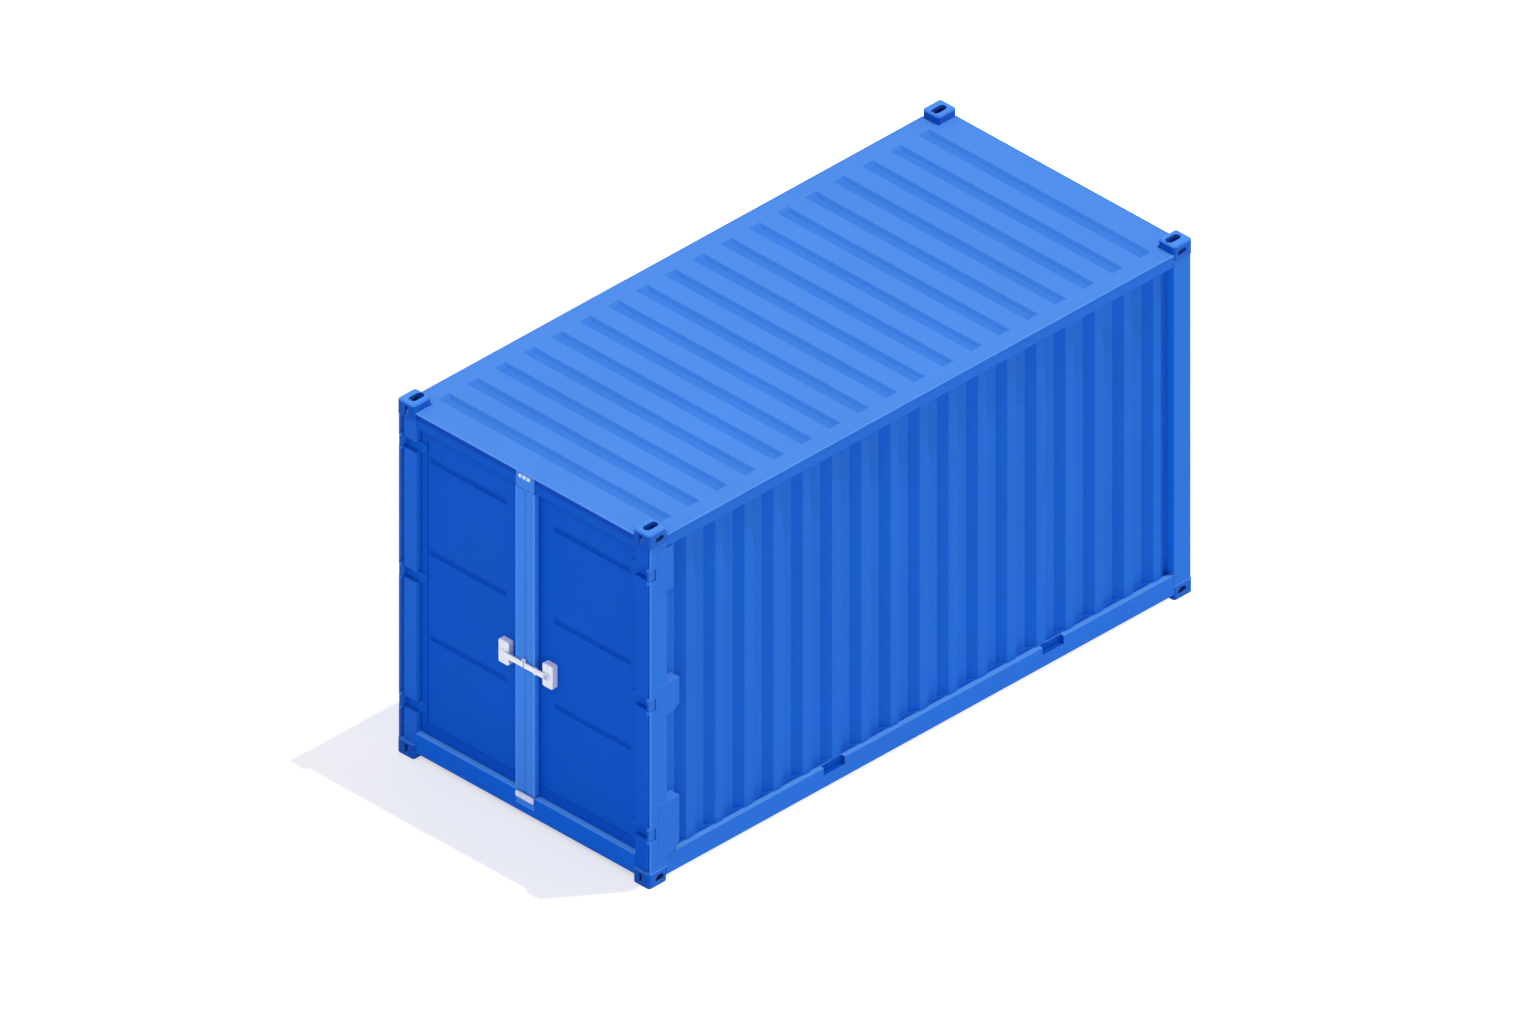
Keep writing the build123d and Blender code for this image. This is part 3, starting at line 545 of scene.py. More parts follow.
# On the doors: the deepest blue, painted shade on the end turned from the light, darker still along
# the foot and in the panel's pressed lines as painted shade
DOOR_PAINT = ContainerPaint("door_paint", sky="0A58CA", across="0055C4", end="0051BF", fade=0.02,
                            zones=(Zone(Axis.HEIGHT, LEAF_FOOT + LEAF_SHADE_HEIGHT, "0049B8",
                                        SOFT_BLEND),
                                   Zone(Axis.LENGTH, PANEL_X - SKIN, "004CBA")))
STRAP_PAINT = ContainerPaint("hinge_strap_paint", sky="2468D0", across="3075D9", end="0053C2")

# On the strip: fresher and so the brightest blue, with painted highlights along its edges
STRIP_PAINT = ContainerPaint("strip_marine_paint", sky="6CA4F0", across="3A88EC", end="3C7FDE",
                             zones=(Zone(Axis.WIDTH, STRIP_MIDDLE, "3C80E0", STRIP_BLEND),),
                             fade=0.02, fade_size_mm=200.0)
STRIP_EDGE_HIGHLIGHT = ContainerPaint("strip_edge_paint", sky="60A0EE", across="5094EC",
                                  end="5094EC", fade=0.02, fade_size_mm=200.0)

# On the keepers: bluish and darker on the header, partly as painted shade, and nearly white on the
# sill
KEEPER_PAINT = ContainerPaint("keeper_paint", sky="A8C4F2", across="86AEEE", end="86AEEE",
                              zones=(Zone(Axis.HEIGHT, ROOF_TOP / 2, "D4DBEE", EDGE_BLEND),))

# Wax on the cross members: dull, dark and even
UNDER_PAINT = PlainPaint("underframe_wax", roughness=0.7, colour="1E4FA8")

# Stoved enamel on the locks: clean white with a soft sheen, and pale blue on the pivot
LOCK_ENAMEL = PlainPaint("lock_enamel", roughness=0.4, colour="E7E8F2", specular=0.3)
PIVOT_ENAMEL = PlainPaint("pivot_cap_enamel", roughness=0.5, colour="A6BAE6", specular=0.2)

# Extruded EPDM: blue and matt, with pale dust on the lips that stand forward
SEAL_RUBBER = Rubber("seal_epdm", roughness=0.8, specular=0.2)
LIP_RUBBER = Rubber("lip_epdm", roughness=0.7, specular=0.2, colour="3C80E2", dust="4488E8")

# Polyurethane sealer: smooth, matt and a little paler than the coat beside it
SEAM_SEALER = PlainPaint("seam_sealer", roughness=0.6, colour="5290E8", specular=0.1)

# Varnished ply and zinc-coated screws: brown with grain along it, and grey with spangles
FLOOR_PLY = Plywood("floor_plywood", roughness=0.55)
BOLT_ZINC = Zinc("bolt_zinc", roughness=0.4, metallic=0.6)

NODE_FINISH = {
    "casting": CASTING_PAINT, "door_post": POST_PAINT, "door_post_left": LEFT_POST_PAINT,
    "blind": FRAME_PAINT,
    "bottom_side_rail": RAIL_PAINT, "top_side_rail": TOP_RAIL_PAINT, "side_plates": PLATE_PAINT,
    "hinge_lugs": POST_PAINT, "blind_end_wall": END_WALL_PAINT, "side_wall": WALL_PAINT,
    "roof_panel": ROOF_PAINT, "door_sill": SILL_PAINT, "door_header": HEADER_PAINT,
    "door_frame": DOOR_PAINT, "door_panel": DOOR_PAINT, "hinge_straps": STRAP_PAINT,
    "door_seal": SEAL_RUBBER, "centre_bar": STRIP_PAINT, "strip_caps": STRIP_PAINT,
    "keepers": KEEPER_PAINT, "lock": LOCK_ENAMEL, "floor_boards": FLOOR_PLY,
    "cross_members": UNDER_PAINT,
}


def dress_nodes() -> None:
    """Give every CAD node the finish whose key matches the longest start of its name."""
    for name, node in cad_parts.items():
        key = max((k for k in NODE_FINISH if name.startswith(k)), key=len)
        finish = NODE_FINISH[key]
        node.data.materials.clear()
        node.data.materials.append(finish.material())
        LOG.info("node %s: %s", name, finish.name)


@dataclass
class Shape:
    """Vertices and faces of one or more closed forms, ready for a mesh."""

    points: np.ndarray
    faces: list[tuple[int, ...]]

    @staticmethod
    def skin(rings: np.ndarray, closed: bool = False) -> "Shape":
        """Join rings of points into a tube, with flat ends unless it closes on itself.

        Args:
            rings: array (ring, point, xyz); neighbouring rings and points are joined.
            closed: whether the last ring joins the first.

        Returns:
            The closed form.
        """
        count, size = rings.shape[:2]
        last = count if closed else count - 1
        row, column = np.meshgrid(np.arange(last), np.arange(size), indexing="ij")
        after, beside = (row + 1) % count, (column + 1) % size
        quads = np.stack([row * size + column, row * size + beside,
                          after * size + beside, after * size + column], axis=-1)
        faces = [tuple(quad) for quad in quads.reshape(-1, 4).tolist()]
        if not closed:
            faces.append(tuple(range(size))[::-1])
            faces.append(tuple(range((count - 1) * size, count * size)))
        return Shape(rings.reshape(-1, 3), faces)

    @staticmethod
    def joined(shapes: Iterable["Shape"]) -> "Shape":
        """Put several shapes into one.

        Args:
            shapes: the shapes.

        Returns:
            One shape that holds them all.
        """
        points, faces, start = [], [], 0
        for shape in shapes:
            points.append(shape.points)
            faces += [tuple(i + start for i in face) for face in shape.faces]
            start += len(shape.points)
        return Shape(np.concatenate(points), faces)

    def at(self, places: np.ndarray) -> "Shape":
        """Repeat the shape at each place.

        Args:
            places: array (copy, xyz) of offsets.

        Returns:
            All the copies in one shape.
        """
        return Shape.joined(Shape(self.points + place, self.faces) for place in places)

    def piece(self, name: str, finish: Finish, body: Body, slot: str) -> bpy.types.Object:
        """Make a Blender object of the shape that rides on a body.

        Args:
            name: name of the piece.
            finish: its finish.
            body: body that it rides on.
            slot: not used.

        Returns:
            The object.
        """
        mesh = bpy.data.meshes.new(name)
        mesh.from_pydata(self.points.tolist(), [], self.faces)
        work = bmesh.new()
        work.from_mesh(mesh)
        bmesh.ops.recalc_face_normals(work, faces=work.faces)
        work.to_mesh(mesh)
        work.free()
        mesh.materials.append(finish.material())
        made = bpy.data.objects.new(name, mesh)
        bpy.context.scene.collection.objects.link(made)
        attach(made, body.value)
        LOG.info("piece %s: %d faces on %s", name, len(self.faces), body.value)
        return made


def unit(rows: np.ndarray) -> np.ndarray:
    """Rows of vectors, each made one long."""
    return rows / np.linalg.norm(rows, axis=-1, keepdims=True)


def sweep(path: np.ndarray, profile: np.ndarray, across: np.ndarray,
          closed: bool = False) -> Shape:
    """Carry a profile along a path of straight runs, mitred at every corner.

    A run's normal is the cross product of the cross direction and the run. At a corner the
    ring lies in the mitre plane: its normal is (n1 + n2) / (1 + n1 . n2). A ring's point is
    the path's, plus the profile's first distance along that normal, plus its second along
    the cross direction.

    Args:
        path: array (point, xyz).
        profile: array (corner, 2) of distances along the normal and the cross direction.
        across: fixed cross direction.
        closed: whether the path ends where it starts.

    Returns:
        The swept form.
    """
    if closed:
        runs = unit(np.roll(path, -1, axis=0) - path)
        after, before = np.cross(across, runs), np.cross(across, np.roll(runs, 1, axis=0))
    else:
        runs = unit(np.diff(path, axis=0))
        normals = np.cross(across, runs)
        before = np.concatenate([normals[:1], normals])
        after = np.concatenate([normals, normals[-1:]])
    mitre = (before + after) / (1 + np.sum(before * after, axis=1, keepdims=True))
    rings = (path[:, None, :] + mitre[:, None, :] * profile[None, :, :1]
             + across[None, None, :] * profile[None, :, 1:])
    return Shape.skin(rings, closed)


def turned(outline: np.ndarray, axis: np.ndarray, segments: int) -> Shape:
    """Turn an outline about an axis through the origin.

    With two unit vectors u and v square to the axis and to each other, the point at angle a
    is its height along the axis plus its radius along u cos a + v sin a.

    Args:
        outline: array (corner, 2) of radius and height along the axis.
        axis: unit direction of the axis.
        segments: points round the axis.

    Returns:
        The turned form.
    """
    side = np.cross(axis, [0.3, 0.9, 0.5])      # any direction that no axis here has
    side /= np.linalg.norm(side)
    other = np.cross(axis, side)
    angles = np.linspace(0, 2 * np.pi, segments, endpoint=False)
    circle = np.cos(angles)[:, None] * side + np.sin(angles)[:, None] * other
    rings = outline[:, :1, None] * circle[None] + outline[:, 1:, None] * axis[None, None]
    return Shape.skin(rings)


def round_bar(radius: float, corners: int = 8) -> np.ndarray:
    """Corners of a circle as a sweep profile (corner, 2): radius times (cos a, sin a)."""
    angles = np.linspace(0, 2 * np.pi, corners, endpoint=False)
    return radius * np.stack([np.cos(angles), np.sin(angles)], axis=1)


def bead(run: float, rise: float, face: np.ndarray = WELD_FACE) -> np.ndarray:
    """Outline a weld or seam in the angle between two faces, as a sweep profile.

    Its corners go from the angle out by the run, over the points of its rounded face, each
    a share of run and rise, and back down the rise.

    Args:
        run: reach along the normal.
        rise: reach along the cross direction.
        face: array (point, 2) of shares.

    Returns:
        Array (corner, 2).
    """
    return np.concatenate([[[-SUNK, -SUNK], [run, -SUNK]], face * [run, rise], [[-SUNK, rise]]])


def flat_bar(thick: float, wide: float) -> np.ndarray:
    """Corners of a rectangle as a sweep profile, array (corner, 2)."""
    return np.array([[0.0, 0.0], [thick, 0.0], [thick, wide], [0.0, wide]])


def domed_head(radius: float, height: float, axis: np.ndarray, segments: int = 12,
               dome: np.ndarray = BOLT_DOME) -> Shape:
    """Shape the head of a bolt or screw, with its seat at the origin.

    Args:
        radius: radius of the seat.
        height: height of the crown over the seat.
        axis: unit direction in which the head stands out.
        segments: points round the axis.
        dome: array (point, 2) of shares of radius and height, from rim to crown.

    Returns:
        The head, turned about its axis from just under its seat by the dome to a flat crown.
    """
    outline = np.concatenate([[[radius, -SUNK]], dome * [radius, height]])
    return turned(outline, axis, segments)


def node_points(name: str) -> np.ndarray:
    """Read the vertices of a CAD node.

    Args:
        name: node.

    Returns:
        Array (vertex, xyz).
    """
    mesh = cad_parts[name].data
    flat = np.empty(3 * len(mesh.vertices))
    mesh.vertices.foreach_get("co", flat)
    return flat.reshape(-1, 3)


def sheet_line(name: str, along: np.ndarray, out: np.ndarray, level: int) -> np.ndarray:
    """Outer line of a corrugated sheet at its foot or its head.

    At each station along the sheet, the vertex that lies farthest out is kept.

    Args:
        name: node of the sheet.
        along: direction of travel.
        out: outward direction.
        level: 0 for the foot and 1 for the head.

    Returns:
        Array (point, xyz).
    """
    points = node_points(name)
    height = (points[:, 2].min(), points[:, 2].max())[level]
    points = points[np.abs(points[:, 2] - height) < SKIN]
    stations, where = np.unique(np.round(points @ along, DECIMALS), return_inverse=True)
    outermost = np.full(len(stations), -np.inf)
    np.maximum.at(outermost, where, points @ out)
    return stations[:, None] * along + outermost[:, None] * out + height * UP


@dataclass
class WallWelds:
    """Continuous fillet welds along the foot and head of the three corrugated walls."""

    leg: float = 0.007

    def line(self, wall: str, along: np.ndarray, out: np.ndarray, finish: Finish) -> None:
        """Lay one bead along the foot of a wall and one along its head.

        Args:
            wall: node of the wall.
            along: direction of travel, so that the cross product of up and it points out.
            out: outward direction.
            finish: paint over the bead.
        """
        beads = []
        for level, upward in ((0, 1.0), (1, -1.0)):
            path = sheet_line(wall, along, out, level)
            beads.append(sweep(path, bead(self.leg, self.leg) * [1.0, upward], UP))
        Shape.joined(beads).piece(f"{wall}_welds", finish, Body.FRAME, "side_paint")

    def build(self) -> None:
        """Weld both side walls and the blind end wall."""
        self.line("side_wall_right", -ALONG, OUT_RIGHT, WALL_PAINT)
        self.line("side_wall_left", ALONG, ACROSS, WALL_PAINT)
        self.line("blind_end_wall", -ACROSS, ALONG, END_WALL_PAINT)


@dataclass
class RoofTrim:
    """Seam sealer along the edge of the roof sheet, on the rails and headers."""

    radius: float = 0.006
    aside: float = 0.002          # of the bead's middle, outside the sheet's edge
    sink: float = 0.3             # of it below the sheet's top, as a share of the radius

    def build(self) -> None:
        """Run one bead down each side and across each end, between the castings."""
        low, high = node_box("roof_panel")
        near = node_box("casting_door_right_top")[1]
        far = node_box("casting_blind_left_top")[0]
        level = high[2] - self.sink * self.radius
        x_door, x_blind = low[0] - self.aside, high[0] + self.aside
        y_right, y_left = low[1] - self.aside, high[1] + self.aside
        runs = [((near[0], y_right), (far[0], y_right)), ((near[0], y_left), (far[0], y_left)),
                ((x_door, near[1]), (x_door, far[1])), ((x_blind, near[1]), (x_blind, far[1]))]
        beads = [sweep(np.array([(*start, level), (*end, level)]), round_bar(self.radius), UP)
                 for start, end in runs]
        Shape.joined(beads).piece("roof_seam_sealer", SEAM_SEALER, Body.FRAME, "roof_paint")


@dataclass
class CornerWelds:
    """Fillet welds round the posts where they stand between their castings."""

    leg: float = 0.007

    def build(self) -> None:
        """Weld each post to the casting below and above it, along its side and back."""
        beads = []
        for side in Side:
            for end, inward in (("door", 1.0), ("blind", -1.0)):
                low, high = node_box(f"{end}_post_{side.word}")
                outer = low[1] if side is Side.RIGHT else high[1]
                inner = high[1] if side is Side.RIGHT else low[1]
                front, back = (low[0], high[0]) if inward > 0 else (high[0], low[0])
                plan = np.array([(front, outer), (back, outer), (back, inner)])
                if inward * side.value > 0:
                    plan = plan[::-1]
                for height, upward in ((low[2], 1.0), (high[2], -1.0)):
                    path = np.column_stack([plan, np.full(3, height)])
                    profile = bead(self.leg, self.leg) * [-1.0, upward]
                    beads.append(sweep(path, profile, UP))
        Shape.joined(beads).piece("post_casting_welds", CASTING_PAINT, Body.FRAME, "casting_paint")


@dataclass
class RailEndWelds:
    """Weld metal between a side rail's end and the rounded corner of its casting."""

    corner_radius: float = 0.028  # of the casting's upright edges
    first_depth: float = 0.007    # of the weld's face behind the casting's
    steps: int = 5
    lap: float = 0.0008           # of the weld into the rail's end

    def plan(self, corner: np.ndarray, along: float, inward: float) -> np.ndarray:
        """Outline of the weld seen from above.

        The casting's edge is an arc: at depth v behind its face it lies
        r - sqrt(r^2 - (r - v)^2) behind its end. The weld fills from there to the rail.

        Args:
            corner: where the casting's face and end would meet, (x, y).
            along: sign of X from the casting to the rail.
            inward: sign of Y into the container.

        Returns:
            Array (point, 2).
        """
        radius = self.corner_radius
        depth = np.linspace(self.first_depth, radius, self.steps)
        back = radius - np.sqrt(radius ** 2 - (radius - depth) ** 2) + self.lap
        arc = np.column_stack([corner[0] - along * back, corner[1] + inward * depth])
        ends = np.array([[corner[0] + along * self.lap, corner[1] + inward * radius],
                         [corner[0] + along * self.lap, corner[1] + inward * self.first_depth]])
        return np.concatenate([arc, ends])

    def build(self) -> None:
        """Weld the ends of the four side rails."""
        welds = []
        for side in Side:
            for level, rail in (("bottom", "bottom_side_rail"), ("top", "top_side_rail")):
                rail_low, rail_high = node_box(f"{rail}_{side.word}")
                for end, along in (("door", 1.0), ("blind", -1.0)):
                    low, high = node_box(f"casting_{end}_{side.word}_{level}")
                    corner = np.array([high[0] if along > 0 else low[0],
                                       low[1] if side is Side.RIGHT else high[1]])
                    plan = self.plan(corner, along, -side.value)
                    heights = (max(low[2], rail_low[2]), min(high[2], rail_high[2]))
                    welds.append(Shape.skin(np.stack([
                        np.column_stack([plan, np.full(len(plan), height)])
                        for height in heights])))
        Shape.joined(welds).piece("rail_end_welds", CASTING_PAINT, Body.FRAME, "casting_paint")


@dataclass
class PlateSeams:
    """Faired seams down the front edges of the plates beside the hinges."""

    run: float = 0.014            # of the seam over the post
    rise: float = 0.0057          # up the plate's edge

    def build(self) -> None:
        """Lay a seam before each of the three plates on both sides."""
        for side in Side:
            name = f"side_plates_{side.word}"
            points = node_points(name)
            front = points[:, 0].min()
            edge = points[points[:, 0] < front + SKIN]
            levels = np.unique(np.round(edge[:, 2], DECIMALS))    # foot and head of each plate
            profile = bead(self.run, self.rise, SEAM_FACE) * [-side.value, 1.0]
            foot = np.array([front, side.value * POST_SIDE_Y, 0.0])
            seams = [sweep(np.array([foot + bottom * UP, foot + top * UP]),
                           profile, side.value * ACROSS)
                     for bottom, top in levels.reshape(-1, 2)]
            Shape.joined(seams).piece(f"side_plate_seams_{side.word}", PLATE_PAINT, Body.FRAME,
                                      "side_paint")


@dataclass
class HingeTrim:
    """Domed caps on the hinge pins."""

    radius: float = 0.0105
    height: float = 0.004
    hinge_gap: float = 0.5        # least height between two hinges

    def build(self) -> None:
        """Cap each pin above its upper lug and below its lower one."""
        for side in Side:
            name = f"hinge_lugs_{side.word}"
            points = node_points(name)
            low, high = node_box(name)
            front = points[points[:, 0] < low[0] + SKIN]
            # A lug is as wide as it is round, so the pin stands half its width behind its front
            axis = np.array([low[0] + (high[1] - low[1]) / 2, np.mean(front[:, 1]), 0.0])
            levels = np.unique(np.round(points[:, 2], DECIMALS))
            breaks = np.flatnonzero(np.diff(levels) > self.hinge_gap) + 1
            caps = []
            for group in np.split(levels, breaks):
                for level, turn in ((group[-1], UP), (group[0], -UP)):
                    cap = domed_head(self.radius, self.height, turn)
                    caps.append(cap.at(np.array([axis + level * UP])))
            Shape.joined(caps).piece(f"hinge_pin_caps_{side.word}", POST_PAINT, Body.FRAME,
                                     "casting_paint")


@dataclass
class DoorTrim:
    """Edge roll and rubber lip of a centre bar, and the bulb of the door's seal."""

    side: Side
    roll_radius: float = 0.008
    roll_sink: float = 0.4        # of its middle inside the bar's corner, as a share of that
    roll_corners: int = 10
    lip_thick: float = 0.006
    lip_back: float = 0.004       # front of the lip behind the front of the bar
    lip_clear: float = 0.001      # from the meeting line
    bulb_radius: float = 0.0028

    def build(self) -> None:
        """Build the three pieces of this leaf."""
        low, high = node_box(f"centre_bar_{self.side.word}")
        sign, body = self.side.value, self.side.door
        outer, inner = (low[1], high[1]) if self.side is Side.RIGHT else (high[1], low[1])
        sink = self.roll_sink * self.roll_radius
        at = np.array([low[0] + sink, outer - sign * sink, 0.0])
        roll = sweep(np.array([at + low[2] * UP, at + high[2] * UP]),
                     round_bar(self.roll_radius, self.roll_corners), ALONG)
        # the roll is painted pale as a highlight along the bar's edge
        roll.piece(f"strip_edge_roll_{self.side.word}", STRIP_EDGE_HIGHLIGHT, body, "strip_paint")
        wide = abs(inner) - self.lip_clear
        spot = np.array([low[0] + self.lip_back, inner, 0.0])
        profile = flat_bar(self.lip_thick, wide) * [1.0, -sign]
        corners = spot + profile[:, :1] * ALONG + profile[:, 1:] * ACROSS
        lip = Shape.skin(np.stack([corners + low[2] * UP, corners + high[2] * UP]))
        lip.piece(f"meeting_lip_{self.side.word}", LIP_RUBBER, body, "strip_paint")
        self.bulb(body)

    def bulb(self, body: Body) -> None:
        """Run the bulb round the seal's outer edge.

        Args:
            body: leaf that it rides on.
        """
        low, high = node_box(f"door_seal_{self.side.word}")
        depth = (low[0] + high[0]) / 2
        ring = np.array([(depth, low[1], low[2]), (depth, high[1], low[2]),
                         (depth, high[1], high[2]), (depth, low[1], high[2])])
        bulb = sweep(ring, round_bar(self.bulb_radius), ALONG, closed=True)
        bulb.piece(f"seal_bulb_{self.side.word}", SEAL_RUBBER, body, "seal_rubber")


@dataclass
class LockTrim:
    """Bolts of the lock boxes, the pivot's cap and the collar on the swinging arm."""

    bolt_radius: float = 0.008
    bolt_height: float = 0.005
    bolt_reach: float = 0.074     # of a bolt above and below the box's middle
    foot_height: float = 0.02     # of a box, below its arm and pivot
    cap_radius: float = 0.018
    cap_height: float = 0.003
    cap_segments: int = 24
    collar_length: float = 0.022
    collar_proud: float = 0.004
    arm_thick: float = 0.010
    back_depth: float = 0.002     # vertices this near the arm's back are on it
    end_depth: float = 0.004      # and this near its far end

    def build(self) -> None:
        """Bolt both boxes and dress the link between them."""
        head = domed_head(self.bolt_radius, self.bolt_height, -ALONG)
        right_low, right_high = node_box("lock_box_right")
        half_width = (right_high[1] - right_low[1]) / 2
        for side in Side:
            low, high = node_box(f"lock_box_{side.word}")
            # The left node holds its arm too, so a box is measured from its outer side and foot
            outer = low[1] if side is Side.RIGHT else high[1]
            points = node_points(f"lock_box_{side.word}")
            foot = points[points[:, 2] < low[2] + self.foot_height]
            face = np.array([foot[:, 0].min(), outer - side.value * half_width,
                             (low[2] + high[2]) / 2])
            bolts = head.at(np.array([face - self.bolt_reach * UP, face + self.bolt_reach * UP]))
            bolts.piece(f"lock_box_bolts_{side.word}", LOCK_ENAMEL, side.door, "lock_paint")
        self.pivot_cap()
        self.collar()

    def pivot_cap(self) -> None:
        """Set the pale blue cap on the head of the stud."""
        low, high = node_box("lock_box_right")
        face = np.array([low[0], (low[1] + high[1]) / 2, (low[2] + high[2]) / 2])
        cap = domed_head(self.cap_radius, self.cap_height, -ALONG, self.cap_segments)
        cap.at(face[None]).piece("pivot_cap", PIVOT_ENAMEL, Body.RIGHT_DOOR, "lock_paint")

    def collar(self) -> None:
        """Close a collar round the arm, halfway between the pivot and the meeting line."""
        low, high = node_box("lock_arm")
        points = node_points("lock_arm")
        bar = points[points[:, 0] > high[0] - self.back_depth]
        bottom = bar[bar[:, 1] > high[1] - self.end_depth][:, 2].min()
        box_low, box_high = node_box("lock_box_right")
        middle_z = (box_low[2] + box_high[2]) / 2
        half = middle_z - bottom + self.collar_proud
        front, back = high[0] - self.arm_thick - self.collar_proud, high[0] + self.collar_proud
        ring = np.array([(front, -half), (back, -half), (back, half), (front, half)])
        start = (low[1] + high[1]) / 2
        rings = [np.column_stack([ring[:, 0], np.full(4, start + step), ring[:, 1] + middle_z])
                 for step in (0.0, self.collar_length)]
        Shape.skin(np.array(rings)).piece("arm_collar", LOCK_ENAMEL, Body.LOCK_ARM, "lock_paint")


@dataclass
class KeeperBolts:
    """Three domed bolts in each keeper."""

    radius: float = 0.011
    height: float = 0.006
    count: int = 3

    def build(self) -> None:
        """Bolt the keeper on the header and the one on the sill."""
        points = node_points("keepers")
        middle = (points[:, 2].min() + points[:, 2].max()) / 2
        spots = []
        for plate in (points[points[:, 2] < middle], points[points[:, 2] > middle]):
            low, high = plate.min(axis=0), plate.max(axis=0)
            along = (np.arange(self.count) + 0.5) / self.count
            y = low[1] + along * (high[1] - low[1])
            spots.append(np.column_stack([np.full(self.count, low[0]), y,
                                          np.full(self.count, (low[2] + high[2]) / 2)]))
        head = domed_head(self.radius, self.height, -ALONG)
        head.at(np.concatenate(spots)).piece("keeper_bolts", LOCK_ENAMEL, Body.FRAME, "lock_paint")


@dataclass
class FloorScrews:
    """Countersunk screws that hold the plywood to the cross members."""

    radius: float = 0.007
    height: float = 0.0008
    segments: int = 8
    across: int = 9               # screws in a row
    margin: float = 0.12          # from the plywood's side to the first
    member_gap: float = 0.1       # least distance between two cross members

    def build(self) -> None:
        """Set one row of screws over each cross member."""
        starts = np.unique(np.round(node_points("cross_members")[:, 0], DECIMALS))
        starts = starts[np.concatenate([[True], np.diff(starts) > self.member_gap])]
        low, high = node_box("floor_boards")
        flange = 0.5 * (node_box("cross_members")[1][0] - starts[-1])
        y = np.linspace(low[1] + self.margin, high[1] - self.margin, self.across)
        x, y = np.meshgrid(starts + flange, y)
        spots = np.column_stack([x.ravel(), y.ravel(), np.full(x.size, high[2])])
        head = domed_head(self.radius, self.height, UP, self.segments, SCREW_DOME)
        head.at(spots).piece("floor_screws", BOLT_ZINC, Body.FRAME, "plywood")


def background_rays(tree: bpy.types.NodeTree) -> bpy.types.Node:
    """Tell the rays that show a background from those that light the object.

    Args:
        tree: node tree that gets the test.

    Returns:
        A node that gives 1 for camera, glossy and transmission rays, and 0 for all others.
    """
    rays = add_node(tree, "ShaderNodeLightPath").outputs
    seen = rays["Is Camera Ray"]
    for kind in ("Is Glossy Ray", "Is Transmission Ray"):
        seen = add_node(tree, "ShaderNodeMath", (seen, rays[kind]), operation="MAXIMUM")
    return seen


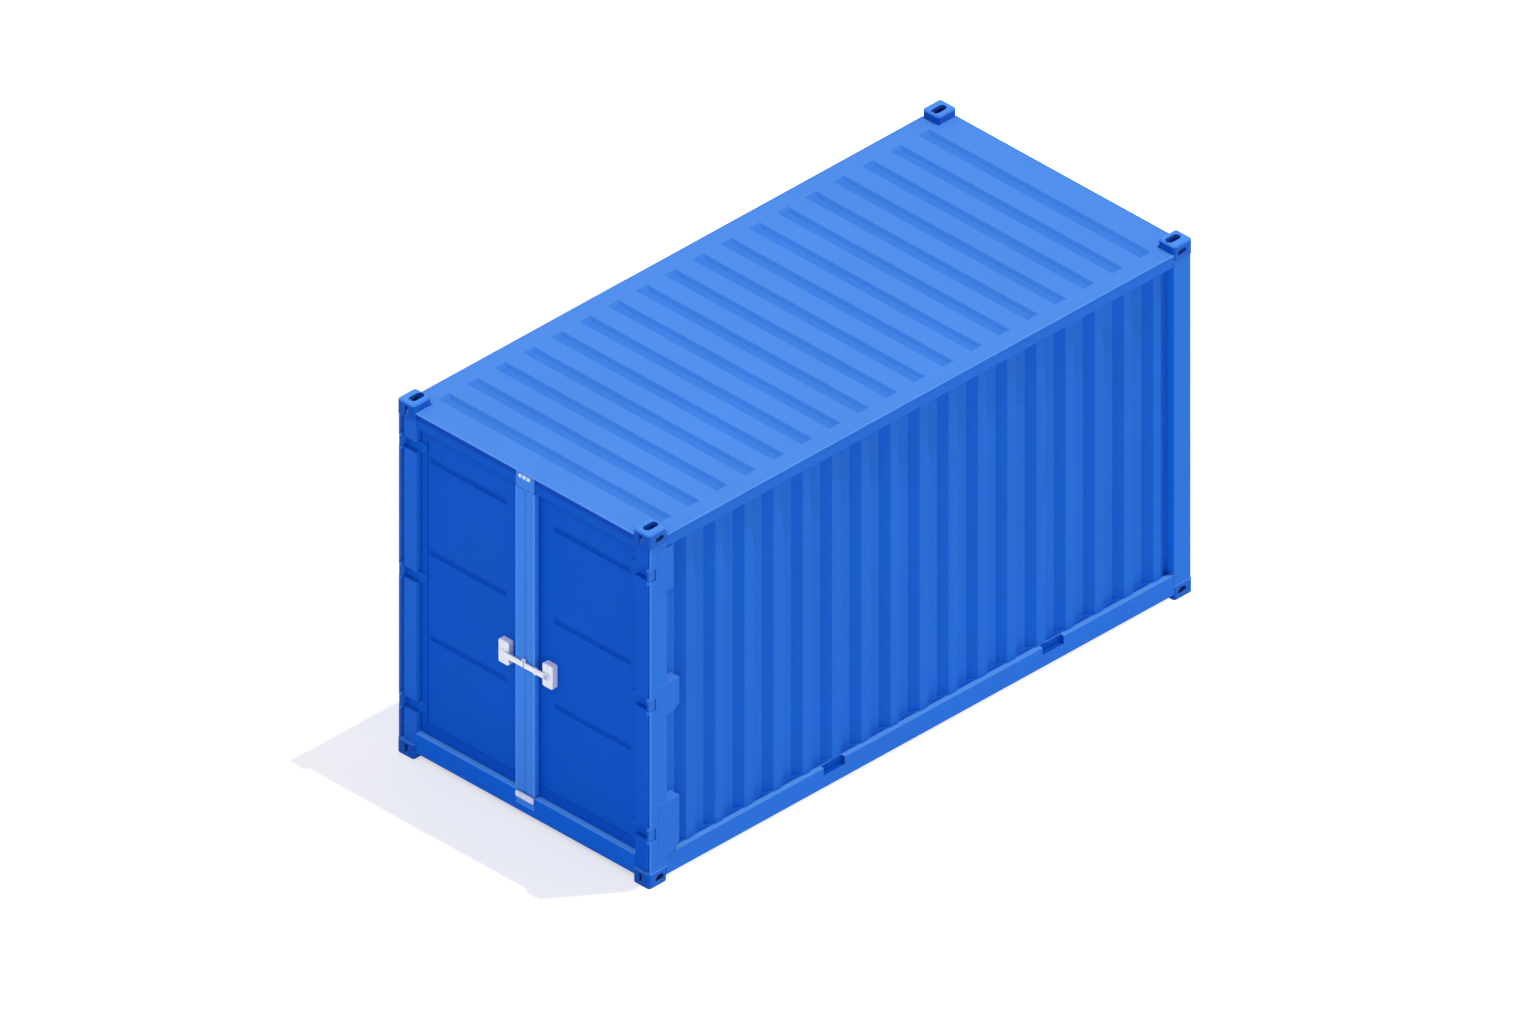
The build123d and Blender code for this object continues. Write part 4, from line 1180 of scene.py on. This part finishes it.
@dataclass
class Studio:
    """White floor, soft sky, a sun that throws the drawing's shadow and a fill before the doors."""

    floor_half: float = 60.0
    floor_colour: str = "F6F7FB"
    shadow_colour: str = "C9C9CC"      # what the camera sees of the floor with no light on it
    shadow_gain: float = 0.45          # how much of the floor's light the camera sees on top
    end_white: float = 0.01            # plain white starts this far under the blind end
    side_white: tuple[float, float] = (0.01, 0.10)      # and fades out under the right rail
    zenith: float = 0.3                # radiance of the sky overhead
    horizon: float = 1.5               # and at the horizon, from where it falls as a square
    sun_strength: float = 1.5
    sun_spread_deg: float = 0.5
    shadow_reach: tuple[float, float] = (-0.60, 0.44)   # ground offset of a roof corner
    shadow_height: float = 2.87
    fill_strength: float = 0.6
    fill_travel: tuple[float, float, float] = (0.5, 0.0, -0.866)    # 60 degrees down
    middle: np.ndarray = field(default_factory=lambda: np.mean(np.array(CAD_BOUNDS), axis=0))

    def floor_glow(self, tree: bpy.types.NodeTree) -> bpy.types.Node:
        """Colour that the camera sees of the floor with no light on it.

        It is the shadow's, but plain white on the sunny sides, behind the blind end and
        beyond the right rail, so that the fill's faint second shadow doesn't show there.

        Args:
            tree: node tree of the floor's material.

        Returns:
            The colour's node.
        """
        place = add_node(tree, "ShaderNodeTexCoord").outputs["Object"]
        spot = add_node(tree, "ShaderNodeSeparateXYZ", (place,)).outputs
        end_x = CAD_BOUNDS[1][0]
        behind = add_node(tree, "ShaderNodeMapRange", (
            spot["X"], end_x - self.end_white, end_x, 0.0, 1.0))
        full, none = (inset - RAIL_SIDE_Y for inset in self.side_white)
        beside = add_node(tree, "ShaderNodeMapRange", (spot["Y"], full, none, 1.0, 0.0))
        sunny = add_node(tree, "ShaderNodeMath", (behind, beside), operation="MAXIMUM")
        return add_node(tree, "ShaderNodeMix", (
            sunny, linear(self.shadow_colour), linear(WHITE)), data_type="RGBA")

    def floor(self) -> None:
        """Lay the floor; the camera sees it white, with the shadow before the doors."""
        half = self.floor_half
        corners = [(-half, -half, 0), (half, -half, 0), (half, half, 0), (-half, half, 0)]
        mesh = bpy.data.meshes.new("studio_floor")
        mesh.from_pydata(corners, [], [(0, 1, 2, 3)])
        ground = bpy.data.objects.new("studio_floor", mesh)
        bpy.context.scene.collection.objects.link(ground)
        material = bpy.data.materials.new("studio_floor")
        material.use_nodes = True
        tree = material.node_tree
        tree.nodes.clear()
        lit = add_node(tree, "ShaderNodeBsdfDiffuse", {"Color": linear(self.floor_colour)})
        gain = [self.shadow_gain] * 3
        dim = add_node(tree, "ShaderNodeBsdfDiffuse", {"Color": (*gain, 1.0)})
        base = add_node(tree, "ShaderNodeEmission", {"Color": self.floor_glow(tree)})
        shown = add_node(tree, "ShaderNodeAddShader", (dim, base))
        both = add_node(tree, "ShaderNodeMixShader", (background_rays(tree), lit, shown))
        add_node(tree, "ShaderNodeOutputMaterial", (both,))
        mesh.materials.append(material)

    def lights(self) -> None:
        """Even white sky, brightest low down, the photograph's sun and a fill before the doors."""
        world = bpy.data.worlds.new("studio_sky")
        bpy.context.scene.world = world
        world.use_nodes = True
        tree = world.node_tree
        tree.nodes.clear()
        facing = add_node(tree, "ShaderNodeTexCoord").outputs["Generated"]
        height = add_node(tree, "ShaderNodeSeparateXYZ", (facing,)).outputs["Z"]
        from_zenith = add_node(tree, "ShaderNodeMapRange", (height, 0.0, 1.0, 1.0, 0.0))
        glow = add_node(tree, "ShaderNodeMath", (from_zenith, 2.0), operation="POWER")
        level = add_node(tree, "ShaderNodeMapRange", (glow, 0.0, 1.0, self.zenith, self.horizon))
        strength = add_node(tree, "ShaderNodeMix", (background_rays(tree), level, 1.0),
                            data_type="FLOAT")
        sky = add_node(tree, "ShaderNodeBackground", {"Color": linear(WHITE),
                                                      "Strength": strength})
        add_node(tree, "ShaderNodeOutputWorld", (sky,))
        self.sun("studio_sun", self.sun_strength, (*self.shadow_reach, -self.shadow_height))
        self.sun("studio_fill", self.fill_strength, self.fill_travel)

    def sun(self, name: str, strength: float, travel: Sequence[float]) -> None:
        """Hang one distant lamp.

        Args:
            name: name of the lamp.
            strength: its irradiance.
            travel: direction in which its light travels.
        """
        lamp = bpy.data.lights.new(name, "SUN")
        lamp.energy = strength
        lamp.angle = math.radians(self.sun_spread_deg)
        hung = bpy.data.objects.new(name, lamp)
        hung.rotation_euler = Vector(travel).to_track_quat("-Z", "Y").to_euler()
        bpy.context.scene.collection.objects.link(hung)

    def camera(self) -> None:
        """Place a parallel camera so that the box's middle falls where the photo has it."""
        azimuth, elevation = math.radians(VIEW_AZIMUTH_DEG), math.radians(VIEW_ELEVATION_DEG)
        back = np.array([math.sin(azimuth) * math.cos(elevation),
                         -math.cos(azimuth) * math.cos(elevation), math.sin(elevation)])
        right = np.array([math.cos(azimuth), math.sin(azimuth), 0.0])
        up = np.cross(back, right)
        aside = (MIDDLE_AT_PX[0] - PHOTO_WIDTH_PX / 2) / PHOTO_PX_PER_M
        above = (PHOTO_HEIGHT_PX / 2 - MIDDLE_AT_PX[1]) / PHOTO_PX_PER_M
        aim = self.middle - right * aside - up * above
        lens = bpy.data.cameras.new("photo_camera")
        lens.type = "ORTHO"
        lens.ortho_scale = PHOTO_WIDTH_PX / PHOTO_PX_PER_M
        lens.clip_end = CAMERA_REACH
        camera = bpy.data.objects.new("photo_camera", lens)
        camera.location = aim + back * CAMERA_DISTANCE
        camera.rotation_euler = Vector(-back).to_track_quat("-Z", "Y").to_euler()
        bpy.context.scene.collection.objects.link(camera)
        bpy.context.scene.camera = camera

    def build(self) -> None:
        """Set up floor, lights, camera and the plain view transform."""
        self.floor()
        self.lights()
        self.camera()
        bpy.context.scene.view_settings.view_transform = "Standard"


def main() -> None:
    """Dress the nodes, build the studio and every sub-assembly, and log each one."""
    logging.basicConfig(level=logging.INFO, format="%(message)s")
    dress_nodes()
    assemblies = [Studio(), WallWelds(), RoofTrim(), CornerWelds(), RailEndWelds(), PlateSeams(),
                  HingeTrim(), *(DoorTrim(side) for side in Side), LockTrim(), KeeperBolts(),
                  FloorScrews()]
    for assembly in assemblies:
        assembly.build()
        LOG.info("built %s", type(assembly).__name__)


if __name__ == "__main__":
    main()
